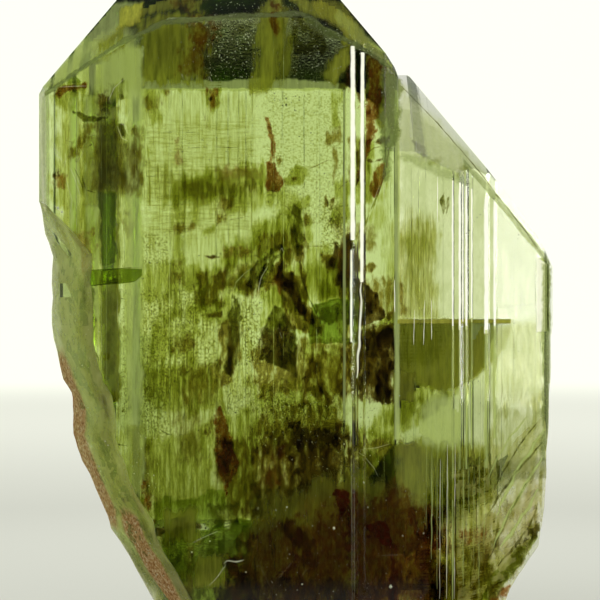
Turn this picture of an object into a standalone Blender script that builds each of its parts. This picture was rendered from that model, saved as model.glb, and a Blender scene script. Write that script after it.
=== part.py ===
"""Peridot: a flat, upright olivine crystal with striated faces and a chisel top.

A thinner crystal grew parallel to it on the right, and a lower one behind that.
All three are one solid, cut flat where the specimen was broken from its rock.
X is the width, -Y the broad front face, +Z the long axis of the crystal.
Sizes are in millimetres, and MM turns them to metres where a mesh is made.
"""

import math
import random

import bmesh
import bpy
import numpy as np
from mathutils import Matrix, Vector, noise

MM = 0.001

# Overall size
LEFT_SIDE = -17.47
RIGHT_SIDE = 17.47
FRONT = -5.5
BACK = 5.5
TOP = 45.0

# Directions of the growth faces, as the slope of depth over width
FLAT = 0.0
PRISM = 1.07
STEEP = 2.14
DOME_LEAN = 40.4

# Fine steps on the broad faces
FRONT_STRIA = 0.04
BACK_STRIA = -0.05
STRIA_GAP = 0.1

# Main crystal
LEFT_STRIP = 0.54
LEDGE_X = 3.62
MAIN_SIDE = 6.83
SIDE_BEVEL = 0.12
LEFT_DEPTH = 0.3
BACK_WINDOW = (-10.25, 3.15)
BACK_STEP = 0.25
BACK_STAIR = (
    (0.80, FLAT), (0.45, PRISM), (1.15, FLAT), (0.83, PRISM), (0.58, FLAT), (0.40, PRISM),
    (0.90, FLAT), (0.24, PRISM), (1.15, FLAT), (0.12, STEEP), (0.33, FLAT),
)
FRONT_CREST = 41.7
BACK_CREST = 37.5
LAYER_EDGE = (
    (5.95, 34.0), (5.65, 32.6), (5.29, 31.3), (4.79, 29.8), (4.20, 28.4), (3.76, 27.2), (3.65, 26.5),
)
LAYER_CUTTER = 1.3

# Thin crystal on the right
PLATE_STEP = 0.15
PLATE_ROOT = (3.0, -3.5)
PLATE_STAIR = (
    (0.13, 0.33), (0.20, 0.03), (0.13, 0.13), (0.20, 0.20), (0.13, 0.81), (0.34, 0.33), (0.20, 0.01),
)
PLATE_STAIR_X = 10.39
PLATE_CORNER = 16.75
PLATE_SLANT = 0.43
PLATE_BEVEL = 0.23
PLATE_BACK = -0.6
PLATE_CREST = 32.75
PLATE_LEAN = 37.5

# Lower crystal behind
REAR_TOP = 21.44
REAR_BACK = 5.2
REAR_EDGE = 14.34
REAR_CORNER = 6.3
REAR_FRONT = -1.5
REAR_STEPS = 24
REAR_JITTER = 0.30

# Rough faces. Each edge is given as height and x, seen from the front.
CONTACT_EDGE = (
    (-1.5, -8.15), (3.8, -11.0), (5.2, -11.85), (6.6, -12.75), (8.0, -13.15), (9.4, -14.0),
    (10.8, -14.55), (12.1, -15.1), (13.5, -15.55), (14.9, -15.5), (16.3, -15.7), (17.7, -16.45),
    (19.1, -16.75), (20.5, -16.95), (23.2, -17.15), (26.0, -17.05), (27.4, -17.45), (30.5, -18.5),
)
CONTACT_TOP = 31.0
CONTACT_FADE = 5.0
CONTACT_MIDDLE = 0.5
CONTACT_FLARE = 3.3
CHIP_EDGE = (
    (-1.5, 12.7), (2.7, 14.3), (3.3, 14.5), (4.2, 15.1), (6.0, 16.4), (6.8, 16.5),
    (8.0, 16.7), (9.2, 16.85), (12.5, 17.0), (16.4, 17.2), (20.7, 17.35), (23.0, 17.9),
)
CHIP_ROUNDING = 0.02
RIB_CENTRE = (10.2, 15.4)
RIB_RADIUS = (4.2, 18.4)
RIB_TURN = (-88, 18)
RIB_SPACING = 0.67
RIB_HEIGHT = 0.02
SHELL_FOOT = (14.34, -3.3, 12.7)
SHELL_SLOPE = 0.32
SHELL_TOP_SLOPE = 0.2
BREAK_TOP = 12.6
BREAK_TOP_LEFT = 7.6
BREAK_TURN = (2.5, 6.0)
BREAK_SLOPE = 0.85
BREAK_REACH = (4.2, 9.3)
BREAK_FLOOR = 1.3

BELOW = -1.0
ABOVE = 47.0
BASE_CUTTER = (60, 40, 8)

FRONT_SIDE = -1
BACK_SIDE = 1


class Outline:
    """Walks round a crystal's cross-section, seen from above."""

    def __init__(self, x, y, seed):
        self.points = [(x, y)]
        self.random = random.Random(seed)

    def go(self, width, slope):
        x, y = self.points[-1]
        self.points.append((x + width, y + slope * abs(width)))

    def to(self, x, y):
        self.points.append((x, y))

    def striae(self, x_end, count, depth):
        """A flat face broken by fine steps that lead in and out again."""
        x_start, y = self.points[-1]
        heading = 1 if x_end > x_start else -1
        places = sorted(self.random.uniform(0.04, 0.96) for _ in range(count))
        raised = 0.0
        for place in places:
            step = self.random.uniform(0.4, 1.0) * depth if raised == 0 else 0.0
            x = x_start + place * (x_end - x_start)
            if heading * (x - self.points[-1][0]) < STRIA_GAP:
                continue
            self.points.append((x, y + raised))
            self.points.append((x + heading * abs(step - raised) / STEEP, y + step))
            raised = step
        self.points.append((x_end, y + raised))


def facet(trace, lean, side):
    """Normal of a face whose line on the broad face falls to the right by trace degrees,
    and which points lean degrees away from the broad face's own direction."""
    trace = math.radians(trace)
    lean = math.radians(lean)
    across = Vector((math.sin(trace), 0, math.cos(trace)))
    return math.cos(lean) * Vector((0, side, 0)) + math.sin(lean) * across


def new_object(name, mesh, collection):
    obj = bpy.data.objects.new(name, mesh)
    collection.objects.link(obj)
    return obj


def mark_as_guide(obj):
    obj.hide_render = True
    obj.display_type = "WIRE"
    return obj


def extruded(name, points, low, high, collection):
    """A flat outline raised to a column, by a filled 2D curve that is then made a mesh."""
    curve = bpy.data.curves.new(name + "_outline", "CURVE")
    curve.dimensions = "2D"
    curve.fill_mode = "BOTH"
    curve.extrude = (high - low) / 2 * MM
    spline = curve.splines.new("POLY")
    spline.points.add(len(points) - 1)
    for spot, (x, y) in zip(spline.points, points):
        spot.co = (x * MM, y * MM, 0, 1)
    spline.use_cyclic_u = True
    drawn = new_object(name + "_curve", curve, collection)
    bpy.context.view_layer.update()
    mesh = bpy.data.meshes.new_from_object(drawn.evaluated_get(bpy.context.evaluated_depsgraph_get()))
    bpy.data.objects.remove(drawn)
    mesh.transform(Matrix.Translation((0, 0, (high + low) / 2 * MM)))
    shape = bmesh.new()
    shape.from_mesh(mesh)
    bmesh.ops.remove_doubles(shape, verts=shape.verts, dist=1e-7)
    bmesh.ops.dissolve_limit(shape, angle_limit=0.001, verts=shape.verts, edges=shape.edges)
    bmesh.ops.recalc_face_normals(shape, faces=shape.faces)
    shape.to_mesh(mesh)
    shape.free()
    mesh.shade_flat()
    return new_object(name, mesh, collection)


def grow_facets(obj, facets):
    """Slices the column with each growth face in turn and closes the slice."""
    shape = bmesh.new()
    shape.from_mesh(obj.data)
    for point, normal in facets:
        cut = bmesh.ops.bisect_plane(
            shape,
            geom=shape.verts[:] + shape.edges[:] + shape.faces[:],
            dist=1e-7,
            plane_co=Vector(point) * MM,
            plane_no=normal,
            clear_outer=True,
        )
        rim = [item for item in cut["geom_cut"] if isinstance(item, bmesh.types.BMEdge)]
        bmesh.ops.holes_fill(shape, edges=rim)
    bmesh.ops.remove_doubles(shape, verts=shape.verts, dist=2e-6)
    bmesh.ops.recalc_face_normals(shape, faces=shape.faces)
    shape.to_mesh(obj.data)
    shape.free()


def rough_block(name, surface, rows, columns, away, collection):
    """A cutter with one uneven face, given as a function of two shares from 0 to 1."""
    shape = bmesh.new()
    bmesh.ops.create_grid(shape, x_segments=columns, y_segments=rows, size=0.5)
    for vert in shape.verts:
        vert.co = Vector(surface(vert.co.x + 0.5, vert.co.y + 0.5)) * MM
    grown = bmesh.ops.extrude_face_region(shape, geom=shape.faces[:], use_keep_orig=True)
    moved = [item for item in grown["geom"] if isinstance(item, bmesh.types.BMVert)]
    bmesh.ops.translate(shape, verts=moved, vec=Vector(away) * MM)
    bmesh.ops.recalc_face_normals(shape, faces=shape.faces)
    mesh = bpy.data.meshes.new(name)
    shape.to_mesh(mesh)
    shape.free()
    return new_object(name, mesh, collection)


def edge_at(z, edge):
    """Place of a rough edge at a height, from its hand-measured points."""
    heights, places = zip(*edge)
    return float(np.interp(z, heights, places))


def share(value, start, end):
    """How far a value has gone from start to end, kept between 0 and 1."""
    return min(max((value - start) / (end - start), 0.0), 1.0)


def lumps(x, y, z, size, seed):
    """Smooth unevenness from -1 to 1, with lumps of about the given size."""
    return noise.noise(Vector((x, y, z)) / size + Vector((seed, 0, 0)))


def join_or_cut(obj, other, operation):
    change = obj.modifiers.new(other.name, "BOOLEAN")
    change.object = other
    change.operation = operation
    change.solver = "EXACT"


def main_crystal(collection):
    """The broad crystal: front ledges at its right, stair-stepped sides at the back."""
    outline = Outline(LEFT_SIDE, FRONT + STEEP * LEFT_STRIP, seed=4)
    outline.go(LEFT_STRIP, -STEEP)
    outline.striae(LEDGE_X, count=15, depth=FRONT_STRIA)
    outline.to(LEDGE_X, FRONT)
    outline.go(0.27, PRISM)
    outline.go(0.47, FLAT)
    outline.go(0.20, PRISM)
    outline.go(1.27, FLAT)
    outline.go(1.00, STEEP)
    outline.to(MAIN_SIDE, BACK - BACK_STEP - SIDE_BEVEL * STEEP)
    outline.go(-SIDE_BEVEL, STEEP)
    outline.to(BACK_WINDOW[1] + BACK_STEP / STEEP, BACK - BACK_STEP)
    outline.to(BACK_WINDOW[1], BACK)
    outline.striae(BACK_WINDOW[0], count=13, depth=BACK_STRIA)
    outline.to(BACK_WINDOW[0], BACK)
    for width, slope in BACK_STAIR:
        outline.go(-width, -slope)
    outline.to(LEFT_SIDE, LEFT_DEPTH)
    crystal = extruded("peridot_crystal", outline.points, BELOW, ABOVE, collection)
    grow_facets(crystal, [
        ((0, 0, TOP), Vector((0, 0, 1))),
        ((0, FRONT, FRONT_CREST), facet(0, DOME_LEAN, FRONT_SIDE)),
        ((-9.05, FRONT, 41.47), facet(-31.1, 42, FRONT_SIDE)),
        ((0.13, FRONT, 42.08), facet(30.8, 42, FRONT_SIDE)),
        ((0, BACK, BACK_CREST), facet(0, DOME_LEAN, BACK_SIDE)),
        ((BACK_WINDOW[1], BACK, BACK_CREST), facet(31.0, 42, BACK_SIDE)),
        ((-17.27, 0, 36.92), facet(-52.1, 90, FRONT_SIDE)),
        ((5.47, 0, 39.9), facet(51.3, 90, FRONT_SIDE)),
        ((6.03, 0, 39.29), facet(55.0, 90, FRONT_SIDE)),
        ((6.60, 0, 38.45), facet(66.0, 90, FRONT_SIDE)),
    ])
    return crystal


def growth_layer_edge(collection):
    """Takes the thin outer layer off the main crystal right of a curved line."""
    foot = LAYER_EDGE[-1][0]
    beyond = MAIN_SIDE + 2
    ends = ((foot, BELOW - 1), (beyond, BELOW - 1), (beyond, LAYER_EDGE[0][1]))
    cutter = extruded("growth_layer_edge", LAYER_EDGE + ends, 0, LAYER_CUTTER, collection)
    stand_up = Matrix(((1, 0, 1 / PRISM, 0), (0, 0, 1, 0), (0, 1, 0, 0), (0, 0, 0, 1)))
    cutter.data.transform(stand_up)
    cutter.data.flip_normals()
    shallow = FRONT + 0.64 + PLATE_STEP - LAYER_CUTTER
    cutter.data.transform(Matrix.Translation(((shallow - FRONT) / PRISM * MM, shallow * MM, 0)))
    return mark_as_guide(cutter)


def right_plate(collection):
    """The thin parallel crystal on the right, with a stair of narrow ledges down its front."""
    level_1 = FRONT + 0.27 * PRISM + PLATE_STEP
    level_2 = level_1 + 0.20 * PRISM
    outline = Outline(*PLATE_ROOT, seed=11)
    outline.to(LEDGE_X - 0.22, level_1 + 0.2)
    outline.to(LEDGE_X + 0.42, level_1)
    outline.to(LEDGE_X + 0.74, level_1)
    outline.go(0.20, PRISM)
    outline.striae(PLATE_STAIR_X, count=9, depth=FRONT_STRIA)
    outline.to(PLATE_STAIR_X, level_2)
    for ledge, rest in PLATE_STAIR:
        outline.go(ledge, PRISM)
        outline.go(rest, FLAT)
    outline.to(PLATE_CORNER, outline.points[-1][1] + PLATE_SLANT)
    outline.go(RIGHT_SIDE - PLATE_CORNER, STEEP)
    outline.to(RIGHT_SIDE, PLATE_BACK - PLATE_BEVEL * STEEP)
    outline.go(-PLATE_BEVEL, STEEP)
    outline.striae(PLATE_ROOT[0] + 0.2, count=8, depth=-FRONT_STRIA)
    plate = extruded("right_plate", outline.points, BELOW - 0.3, ABOVE, collection)
    grow_facets(plate, [
        ((0, level_2, PLATE_CREST), facet(0, PLATE_LEAN, FRONT_SIDE)),
        ((7.85, level_2, PLATE_CREST), facet(27.9, 42, FRONT_SIDE)),
        ((9.14, 0, 36.34), facet(51.8, 90, FRONT_SIDE)),
        ((16.46, 0, 26.73), facet(59.6, 90, FRONT_SIDE)),
        ((14.2, -3.43, 29.95), facet(53.0, 60, FRONT_SIDE)),
    ])
    return mark_as_guide(plate)


def rear_side(x):
    """Depth of the rear crystal's right side, which falls away to the right."""
    return PLATE_BACK + (REAR_BACK - PLATE_BACK) * share(x, REAR_EDGE, REAR_CORNER)


def rear_crystal(collection):
    """The lower crystal behind the plate, its right side a stair of prism faces."""
    outline = Outline(0.0, REAR_FRONT, seed=23)
    outline.to(REAR_EDGE, REAR_FRONT)
    widths = [outline.random.uniform(0.3, 1.7) for _ in range(REAR_STEPS)]
    x = REAR_EDGE
    for width in widths:
        depth = rear_side(x) + outline.random.uniform(-REAR_JITTER, REAR_JITTER)
        outline.to(x, max(depth, PLATE_BACK - 0.2))
        x -= (REAR_EDGE - REAR_CORNER) * width / sum(widths)
        outline.to(x + 0.02, max(depth, PLATE_BACK - 0.2))
    outline.to(x, REAR_BACK)
    outline.striae(0.0, count=4, depth=BACK_STRIA)
    rear = extruded("rear_crystal", outline.points, BELOW - 0.6, ABOVE, collection)
    grow_facets(rear, [((0, PLATE_BACK, REAR_TOP), facet(0, DOME_LEAN, BACK_SIDE))])
    return mark_as_guide(rear)


def contact_face(collection):
    """The rough face at the lower left, where the crystal grew against its rock."""

    def surface(across, up):
        y = -6.5 + 13.0 * across
        z = CONTACT_EDGE[0][0] + (CONTACT_EDGE[-1][0] - CONTACT_EDGE[0][0]) * up
        reach = share(z, CONTACT_TOP, CONTACT_TOP - CONTACT_FADE)
        bend = (abs(y - CONTACT_MIDDLE) / 6.0) ** 1.5 * (1.0 if y < CONTACT_MIDDLE else 0.6)
        uneven = 0.30 * lumps(0, y, z, 2.2, 3) + 0.12 * lumps(0, y, z, 0.8, 8)
        x = edge_at(z, CONTACT_EDGE) + CONTACT_FLARE * reach * bend
        return x + uneven * min(1.0, reach + 0.2), y, z

    return mark_as_guide(rough_block("contact_face", surface, 34, 18, (-14, 0, 0), collection))


def right_chip(collection):
    """The worn and chipped edge at the lower right."""

    def surface(across, up):
        y = -6.0 + 12.5 * across
        z = CHIP_EDGE[0][0] + (CHIP_EDGE[-1][0] - CHIP_EDGE[0][0]) * up
        x = edge_at(z, CHIP_EDGE) - CHIP_ROUNDING * (y - REAR_FRONT) ** 2
        return x + 0.12 * lumps(0, y, z, 1.9, 14), y, z

    return mark_as_guide(rough_block("right_chip", surface, 26, 9, (8, 0, 0), collection))


def shell_break(collection):
    """The shell-like break on the lower right of the front, with ribs round one centre."""

    def surface(turn, out):
        radius = RIB_RADIUS[0] + (RIB_RADIUS[1] - RIB_RADIUS[0]) * out
        angle = math.radians(RIB_TURN[0] + (RIB_TURN[1] - RIB_TURN[0]) * turn)
        x = RIB_CENTRE[0] + radius * math.cos(angle)
        z = RIB_CENTRE[1] + radius * math.sin(angle)
        wave = math.sin(2 * math.pi * (radius + 0.25 * lumps(x, 0, z, 3.0, 5)) / RIB_SPACING)
        y = SHELL_FOOT[1] + SHELL_SLOPE * (x - SHELL_FOOT[0]) + 0.03 * (SHELL_FOOT[2] - z)
        y -= SHELL_TOP_SLOPE * max(0.0, z - SHELL_FOOT[2] - 0.3)
        return x, y + RIB_HEIGHT * wave + 0.06 * lumps(x, 0, z, 2.0, 6), z

    return mark_as_guide(rough_block("shell_break", surface, 94, 8, (0, -9, 0), collection))


def rear_break(collection):
    """The uneven break low on the back. It leans inward, and starts higher behind the thin crystal."""

    def surface(across, up):
        x = -13.0 + 32.0 * across
        z = BELOW - 1 + (BREAK_TOP + 1.6 - BELOW + 1) * up
        right = share(x, *BREAK_TURN)
        top = BREAK_TOP_LEFT + (BREAK_TOP - BREAK_TOP_LEFT) * right + 0.4 * lumps(x, 0, 0, 3.0, 41)
        lean = min(top - z, BREAK_REACH[0] + (BREAK_REACH[1] - BREAK_REACH[0]) * right)
        uneven = 0.20 * lumps(x, 0, z, 2.4, 31) + 0.08 * lumps(x, 0, z, 0.9, 37)
        y = rear_side(x) + 0.4 - BREAK_SLOPE * lean
        return x, max(y, PLATE_BACK - BREAK_FLOOR) + uneven, z

    return mark_as_guide(rough_block("rear_break", surface, 18, 30, (0, 9, 0), collection))


def base_cut(collection):
    """The flat cut that the specimen stands on."""
    shape = bmesh.new()
    bmesh.ops.create_cube(shape, size=1.0)
    bmesh.ops.scale(shape, vec=Vector(BASE_CUTTER) * MM, verts=shape.verts)
    bmesh.ops.translate(shape, vec=Vector((0, 0, -BASE_CUTTER[2] / 2)) * MM, verts=shape.verts)
    mesh = bpy.data.meshes.new("base_cut")
    shape.to_mesh(mesh)
    shape.free()
    return mark_as_guide(new_object("base_cut", mesh, collection))


def peridot_material():
    """Clear olive-green crystal with a glassy lustre."""
    material = bpy.data.materials.new("peridot")
    material.use_nodes = True
    shader = material.node_tree.nodes["Principled BSDF"]
    shader.inputs["Base Color"].default_value = (0.42, 0.52, 0.14, 1)
    shader.inputs["Roughness"].default_value = 0.05
    shader.inputs["Metallic"].default_value = 0.0
    shader.inputs["IOR"].default_value = 1.67
    shader.inputs["Transmission Weight"].default_value = 1.0
    return material


def build():
    for obj in list(bpy.data.objects):
        bpy.data.objects.remove(obj)
    part = bpy.data.collections.new("peridot")
    guides = bpy.data.collections.new("cutters")
    for collection in (part, guides):
        bpy.context.scene.collection.children.link(collection)
    crystal = main_crystal(part)
    crystal.data.materials.append(peridot_material())
    join_or_cut(crystal, growth_layer_edge(guides), "DIFFERENCE")
    join_or_cut(crystal, right_plate(guides), "UNION")
    join_or_cut(crystal, rear_crystal(guides), "UNION")
    join_or_cut(crystal, contact_face(guides), "DIFFERENCE")
    join_or_cut(crystal, right_chip(guides), "DIFFERENCE")
    join_or_cut(crystal, shell_break(guides), "DIFFERENCE")
    join_or_cut(crystal, rear_break(guides), "DIFFERENCE")
    join_or_cut(crystal, base_cut(guides), "DIFFERENCE")


build()
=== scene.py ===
"""Peridot crystal: its clear body, the films and grains inside it, and the studio round it.

X is the width, -Y the broad front face and +Z up. Sizes are in millimetres, and MM turns
them to metres where a mesh is made.
"""

import math
import random

import bmesh
import bpy
import numpy as np
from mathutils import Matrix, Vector, noise
from mathutils.bvhtree import BVHTree


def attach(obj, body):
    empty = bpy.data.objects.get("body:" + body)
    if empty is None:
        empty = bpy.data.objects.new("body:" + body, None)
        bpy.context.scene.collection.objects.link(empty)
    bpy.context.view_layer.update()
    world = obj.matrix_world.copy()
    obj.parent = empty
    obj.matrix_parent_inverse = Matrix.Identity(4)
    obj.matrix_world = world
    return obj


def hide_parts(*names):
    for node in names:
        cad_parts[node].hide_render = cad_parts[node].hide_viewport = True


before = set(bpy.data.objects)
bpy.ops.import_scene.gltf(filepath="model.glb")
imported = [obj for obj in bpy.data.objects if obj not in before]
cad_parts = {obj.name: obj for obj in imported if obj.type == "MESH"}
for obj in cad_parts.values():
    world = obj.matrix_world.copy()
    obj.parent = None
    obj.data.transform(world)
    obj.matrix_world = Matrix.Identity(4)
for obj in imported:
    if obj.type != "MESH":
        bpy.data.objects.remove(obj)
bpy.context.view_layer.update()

MM = 0.001
CRYSTAL = "peridot_crystal"
# Y of the broad front face
FRONT = -5.5

# Films on the front lie a skin's thickness before it, and each a hair before the last
ON_FRONT = -1.0
SKIN = 0.012
HAIR = 0.001

# The crystal is worn and broken low on its left, at its foot and at its lower right
WORN_BELOW = 30.6
WORN_LEFT_OF = -7
FOOT_BELOW = 14
BROKEN_RIGHT_OF = 13
LARGEST_CHIP = 1.2
ETCHED_LEFT_OF = -16.6

# Camera: the photograph shows 40.2 mm at the front face. The middle of the crystal's base would
# be at BASE_PIXEL, below its lower edge
PHOTO = 600
CENTRE = PHOTO / 2
PIXEL = 0.067
BASE_PIXEL = (298.0, 640.0)
LENS = 150.0
SENSOR = 36.0
DISTANCE = PHOTO * PIXEL * LENS / SENSOR
AIM = ((CENTRE - BASE_PIXEL[0]) * PIXEL, (BASE_PIXEL[1] - CENTRE) * PIXEL)

# Peridot, a magnesium iron silicate, is coloured olive green by its iron
PERIDOT_IOR = 1.67
GREEN_DEPTH = "#CCDC7A"
GREEN_DENSITY = 170.0

# Settings that many nodes share
MULTIPLY = {"operation": "MULTIPLY"}
MULTIPLY_ADD = {"operation": "MULTIPLY_ADD"}
SMOOTH = {"interpolation_type": "SMOOTHSTEP"}


def linear(code):
    """An sRGB hex colour as linear light."""
    parts = [int(code[i:i + 2], 16) / 255 for i in (1, 3, 5)]
    return tuple(c / 12.92 if c <= 0.04045 else ((c + 0.055) / 1.055) ** 2.4 for c in parts) + (1.0,)


def node(tree, kind, settings=None, **links):
    """Adds a node. A link is a node, a socket or a value, named by its input, or i0, i1 by place."""
    made = tree.nodes.new("ShaderNode" + kind)
    for key, value in (settings or {}).items():
        setattr(made, key, value)
    for key, value in links.items():
        place = int(key[1:]) if key[0] == "i" and key[1:].isdigit() else key.replace("_", " ")
        if isinstance(value, bpy.types.Node):
            value = value.outputs[0]
        if isinstance(value, bpy.types.NodeSocket):
            tree.links.new(value, made.inputs[place])
        else:
            made.inputs[place].default_value = value
    return made


def new_material(name):
    made = bpy.data.materials.new(name)
    made.use_nodes = True
    made.node_tree.nodes.clear()
    return made, made.node_tree


def set_ramp(ramp, *stops):
    """Sets a colour ramp's stops, each a place and a hex colour."""
    parts = ramp.color_ramp.elements
    while len(parts) < len(stops):
        parts.new(0.5)
    for part, (place, code) in zip(parts, stops):
        part.position = place
        part.color = linear(code)


def per_mm(x, y, z):
    """Mapping scale for a pattern with so many waves in a millimetre along X, Y and Z."""
    return (x / MM, y / MM, z / MM)


def seen(px, py, depth=0.0):
    """X and Z of a thing that shows at a pixel of the photograph, at a depth in the crystal."""
    spread = 1 + depth / PERIDOT_IOR / DISTANCE
    return AIM[0] + (px - CENTRE) * PIXEL * spread, AIM[1] + (CENTRE - py) * PIXEL * spread


def pairs(flat):
    """The points of an outline or course, whose numbers stand in one row."""
    return list(zip(flat[::2], flat[1::2]))


def add_object(name, mesh, *materials):
    obj = bpy.data.objects.new(name, mesh)
    bpy.context.scene.collection.objects.link(obj)
    for material in materials:
        mesh.materials.append(material)
    return obj


def belongs(obj):
    """Fixes a piece to the crystal."""
    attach(obj, "root")
    return obj


# Clear crystal

# Rough faces that meet at less than this, in radians, are shaded as one
SMOOTH_UNDER = 0.6
# How frosted the etched strip down the left side is, where a broken face is 1
STRIP_FROST = 0.6


def peridot_material():
    """Clear olive-green olivine with a glassy lustre. The growth faces are bright and finely
    lined along the crystal. The etched strip and the broken faces are duller, like ground glass."""
    made, tree = new_material("peridot_olivine_crystal")
    place = node(tree, "TexCoord").outputs["Object"]
    frosted = node(tree, "Attribute", {"attribute_name": "frosted"}).outputs["Fac"]
    along = node(tree, "Mapping", {}, Vector=place, Scale=per_mm(9.0, 9.0, 0.08))
    lines = node(tree, "TexNoise", {}, Vector=along, Scale=1.0, Detail=3.0)
    all_round = node(tree, "Mapping", {}, Vector=place, Scale=per_mm(2.2, 2.2, 2.2))
    grain = node(tree, "TexNoise", {}, Vector=all_round, Scale=1.0, Detail=5.0, Roughness=0.65)
    uneven = node(tree, "Mix", {"data_type": "FLOAT"}, i0=frosted, i2=lines, i3=grain)
    deep = node(tree, "MapRange", {}, Value=frosted, From_Min=0.0, From_Max=1.0, To_Min=0.003, To_Max=0.018)
    relief = node(tree, "Math", MULTIPLY, i0=uneven, i1=deep)
    bump = node(tree, "Bump", {}, Strength=1.0, Distance=MM, Height=relief)
    rough = node(tree, "Math", MULTIPLY_ADD, i0=frosted, i1=0.42, i2=0.03)
    body = node(
        tree, "BsdfPrincipled", {}, Base_Color=(1, 1, 1, 1), Roughness=rough, IOR=PERIDOT_IOR,
        Transmission_Weight=1.0, Specular_Tint=linear("#8A8A8A"), Normal=bump,
    )
    inside = node(tree, "VolumeAbsorption", {}, Color=linear(GREEN_DEPTH), Density=GREEN_DENSITY)
    node(tree, "OutputMaterial", {}, Surface=body, Volume=inside)
    return made


# Normals of the flat growth faces: front, side, end, and the four upright prism faces
GROWTH_DIRECTIONS = [Vector((0, 1, 0)), Vector((1, 0, 0)), Vector((0, 0, 1))]
GROWTH_DIRECTIONS += [Vector((x, side * y, 0))
                      for x, y in ((0.730, 0.683), (0.906, 0.423)) for side in (1, -1)]


def is_rough(face):
    """True for a worn or broken face: a small one, not on the cut base, in no growth direction."""
    x, _, z = (c / MM for c in face.calc_center_median())
    if z > WORN_BELOW or face.normal.z < -0.99 or face.calc_area() > LARGEST_CHIP * MM * MM:
        return False
    if max(abs(face.normal.dot(way)) for way in GROWTH_DIRECTIONS) > 0.9995:
        return False
    return x < WORN_LEFT_OF or z < FOOT_BELOW or x > BROKEN_RIGHT_OF


def crystal_shape():
    """The CAD solid's own faces, with the triangles of each flat face joined."""
    shape = bmesh.new()
    shape.from_mesh(bpy.data.objects[CRYSTAL].data)
    bmesh.ops.remove_doubles(shape, verts=shape.verts, dist=0.001 * MM)
    bmesh.ops.dissolve_limit(shape, angle_limit=math.radians(0.5), verts=shape.verts, edges=shape.edges)
    shape.normal_update()
    return shape


def crystal_body():
    """The crystal's own solid: flat growth faces, soft broken ones, marked where it is frosted."""
    shape = crystal_shape()
    marks = []
    for face in shape.faces:
        rough = is_rough(face)
        face.smooth = rough
        strip = face.calc_center_median().x / MM < ETCHED_LEFT_OF and abs(face.normal.x) > 0.8
        marks.append(1.0 if rough else STRIP_FROST if strip else 0.0)
    for edge in shape.edges:
        edge.smooth = all(face.smooth for face in edge.link_faces) and edge.calc_face_angle(0) < SMOOTH_UNDER
    mesh = bpy.data.meshes.new("peridot_body")
    shape.to_mesh(mesh)
    shape.free()
    layer = mesh.attributes.new("frosted", "FLOAT", "FACE")
    layer.data.foreach_set("value", marks)
    body = add_object("peridot_body", mesh, peridot_material())
    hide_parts(CRYSTAL)
    return belongs(body)


# Millimetres: the longest edge, how far the crust stands off the crystal, and its lumps
CRUST_STEP = 0.5
CRUST_LIFT = 0.03
CRUST_LUMPS = 0.025


def crust_shape():
    """A thin layer over the rough faces that look forwards or down, in lumps like worn rock."""
    shape = crystal_shape()
    away = [f for f in shape.faces if not is_rough(f) or f.normal.y > 0.3]
    bmesh.ops.delete(shape, geom=away, context="FACES")
    bmesh.ops.triangulate(shape, faces=shape.faces)
    for _ in range(3):
        longest = [e for e in shape.edges if e.calc_length() > CRUST_STEP * MM]
        bmesh.ops.subdivide_edges(shape, edges=longest, cuts=1)
        bmesh.ops.triangulate(shape, faces=shape.faces)
    shape.normal_update()
    for vert in shape.verts:
        lumps = noise.noise(vert.co * 900) + 0.6 * noise.noise(vert.co * 2600)
        vert.co += vert.normal * (CRUST_LIFT + CRUST_LUMPS * lumps) * MM
    for face in shape.faces:
        face.smooth = True
    mesh = bpy.data.meshes.new("rock_crust")
    shape.to_mesh(mesh)
    shape.free()
    return mesh


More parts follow.
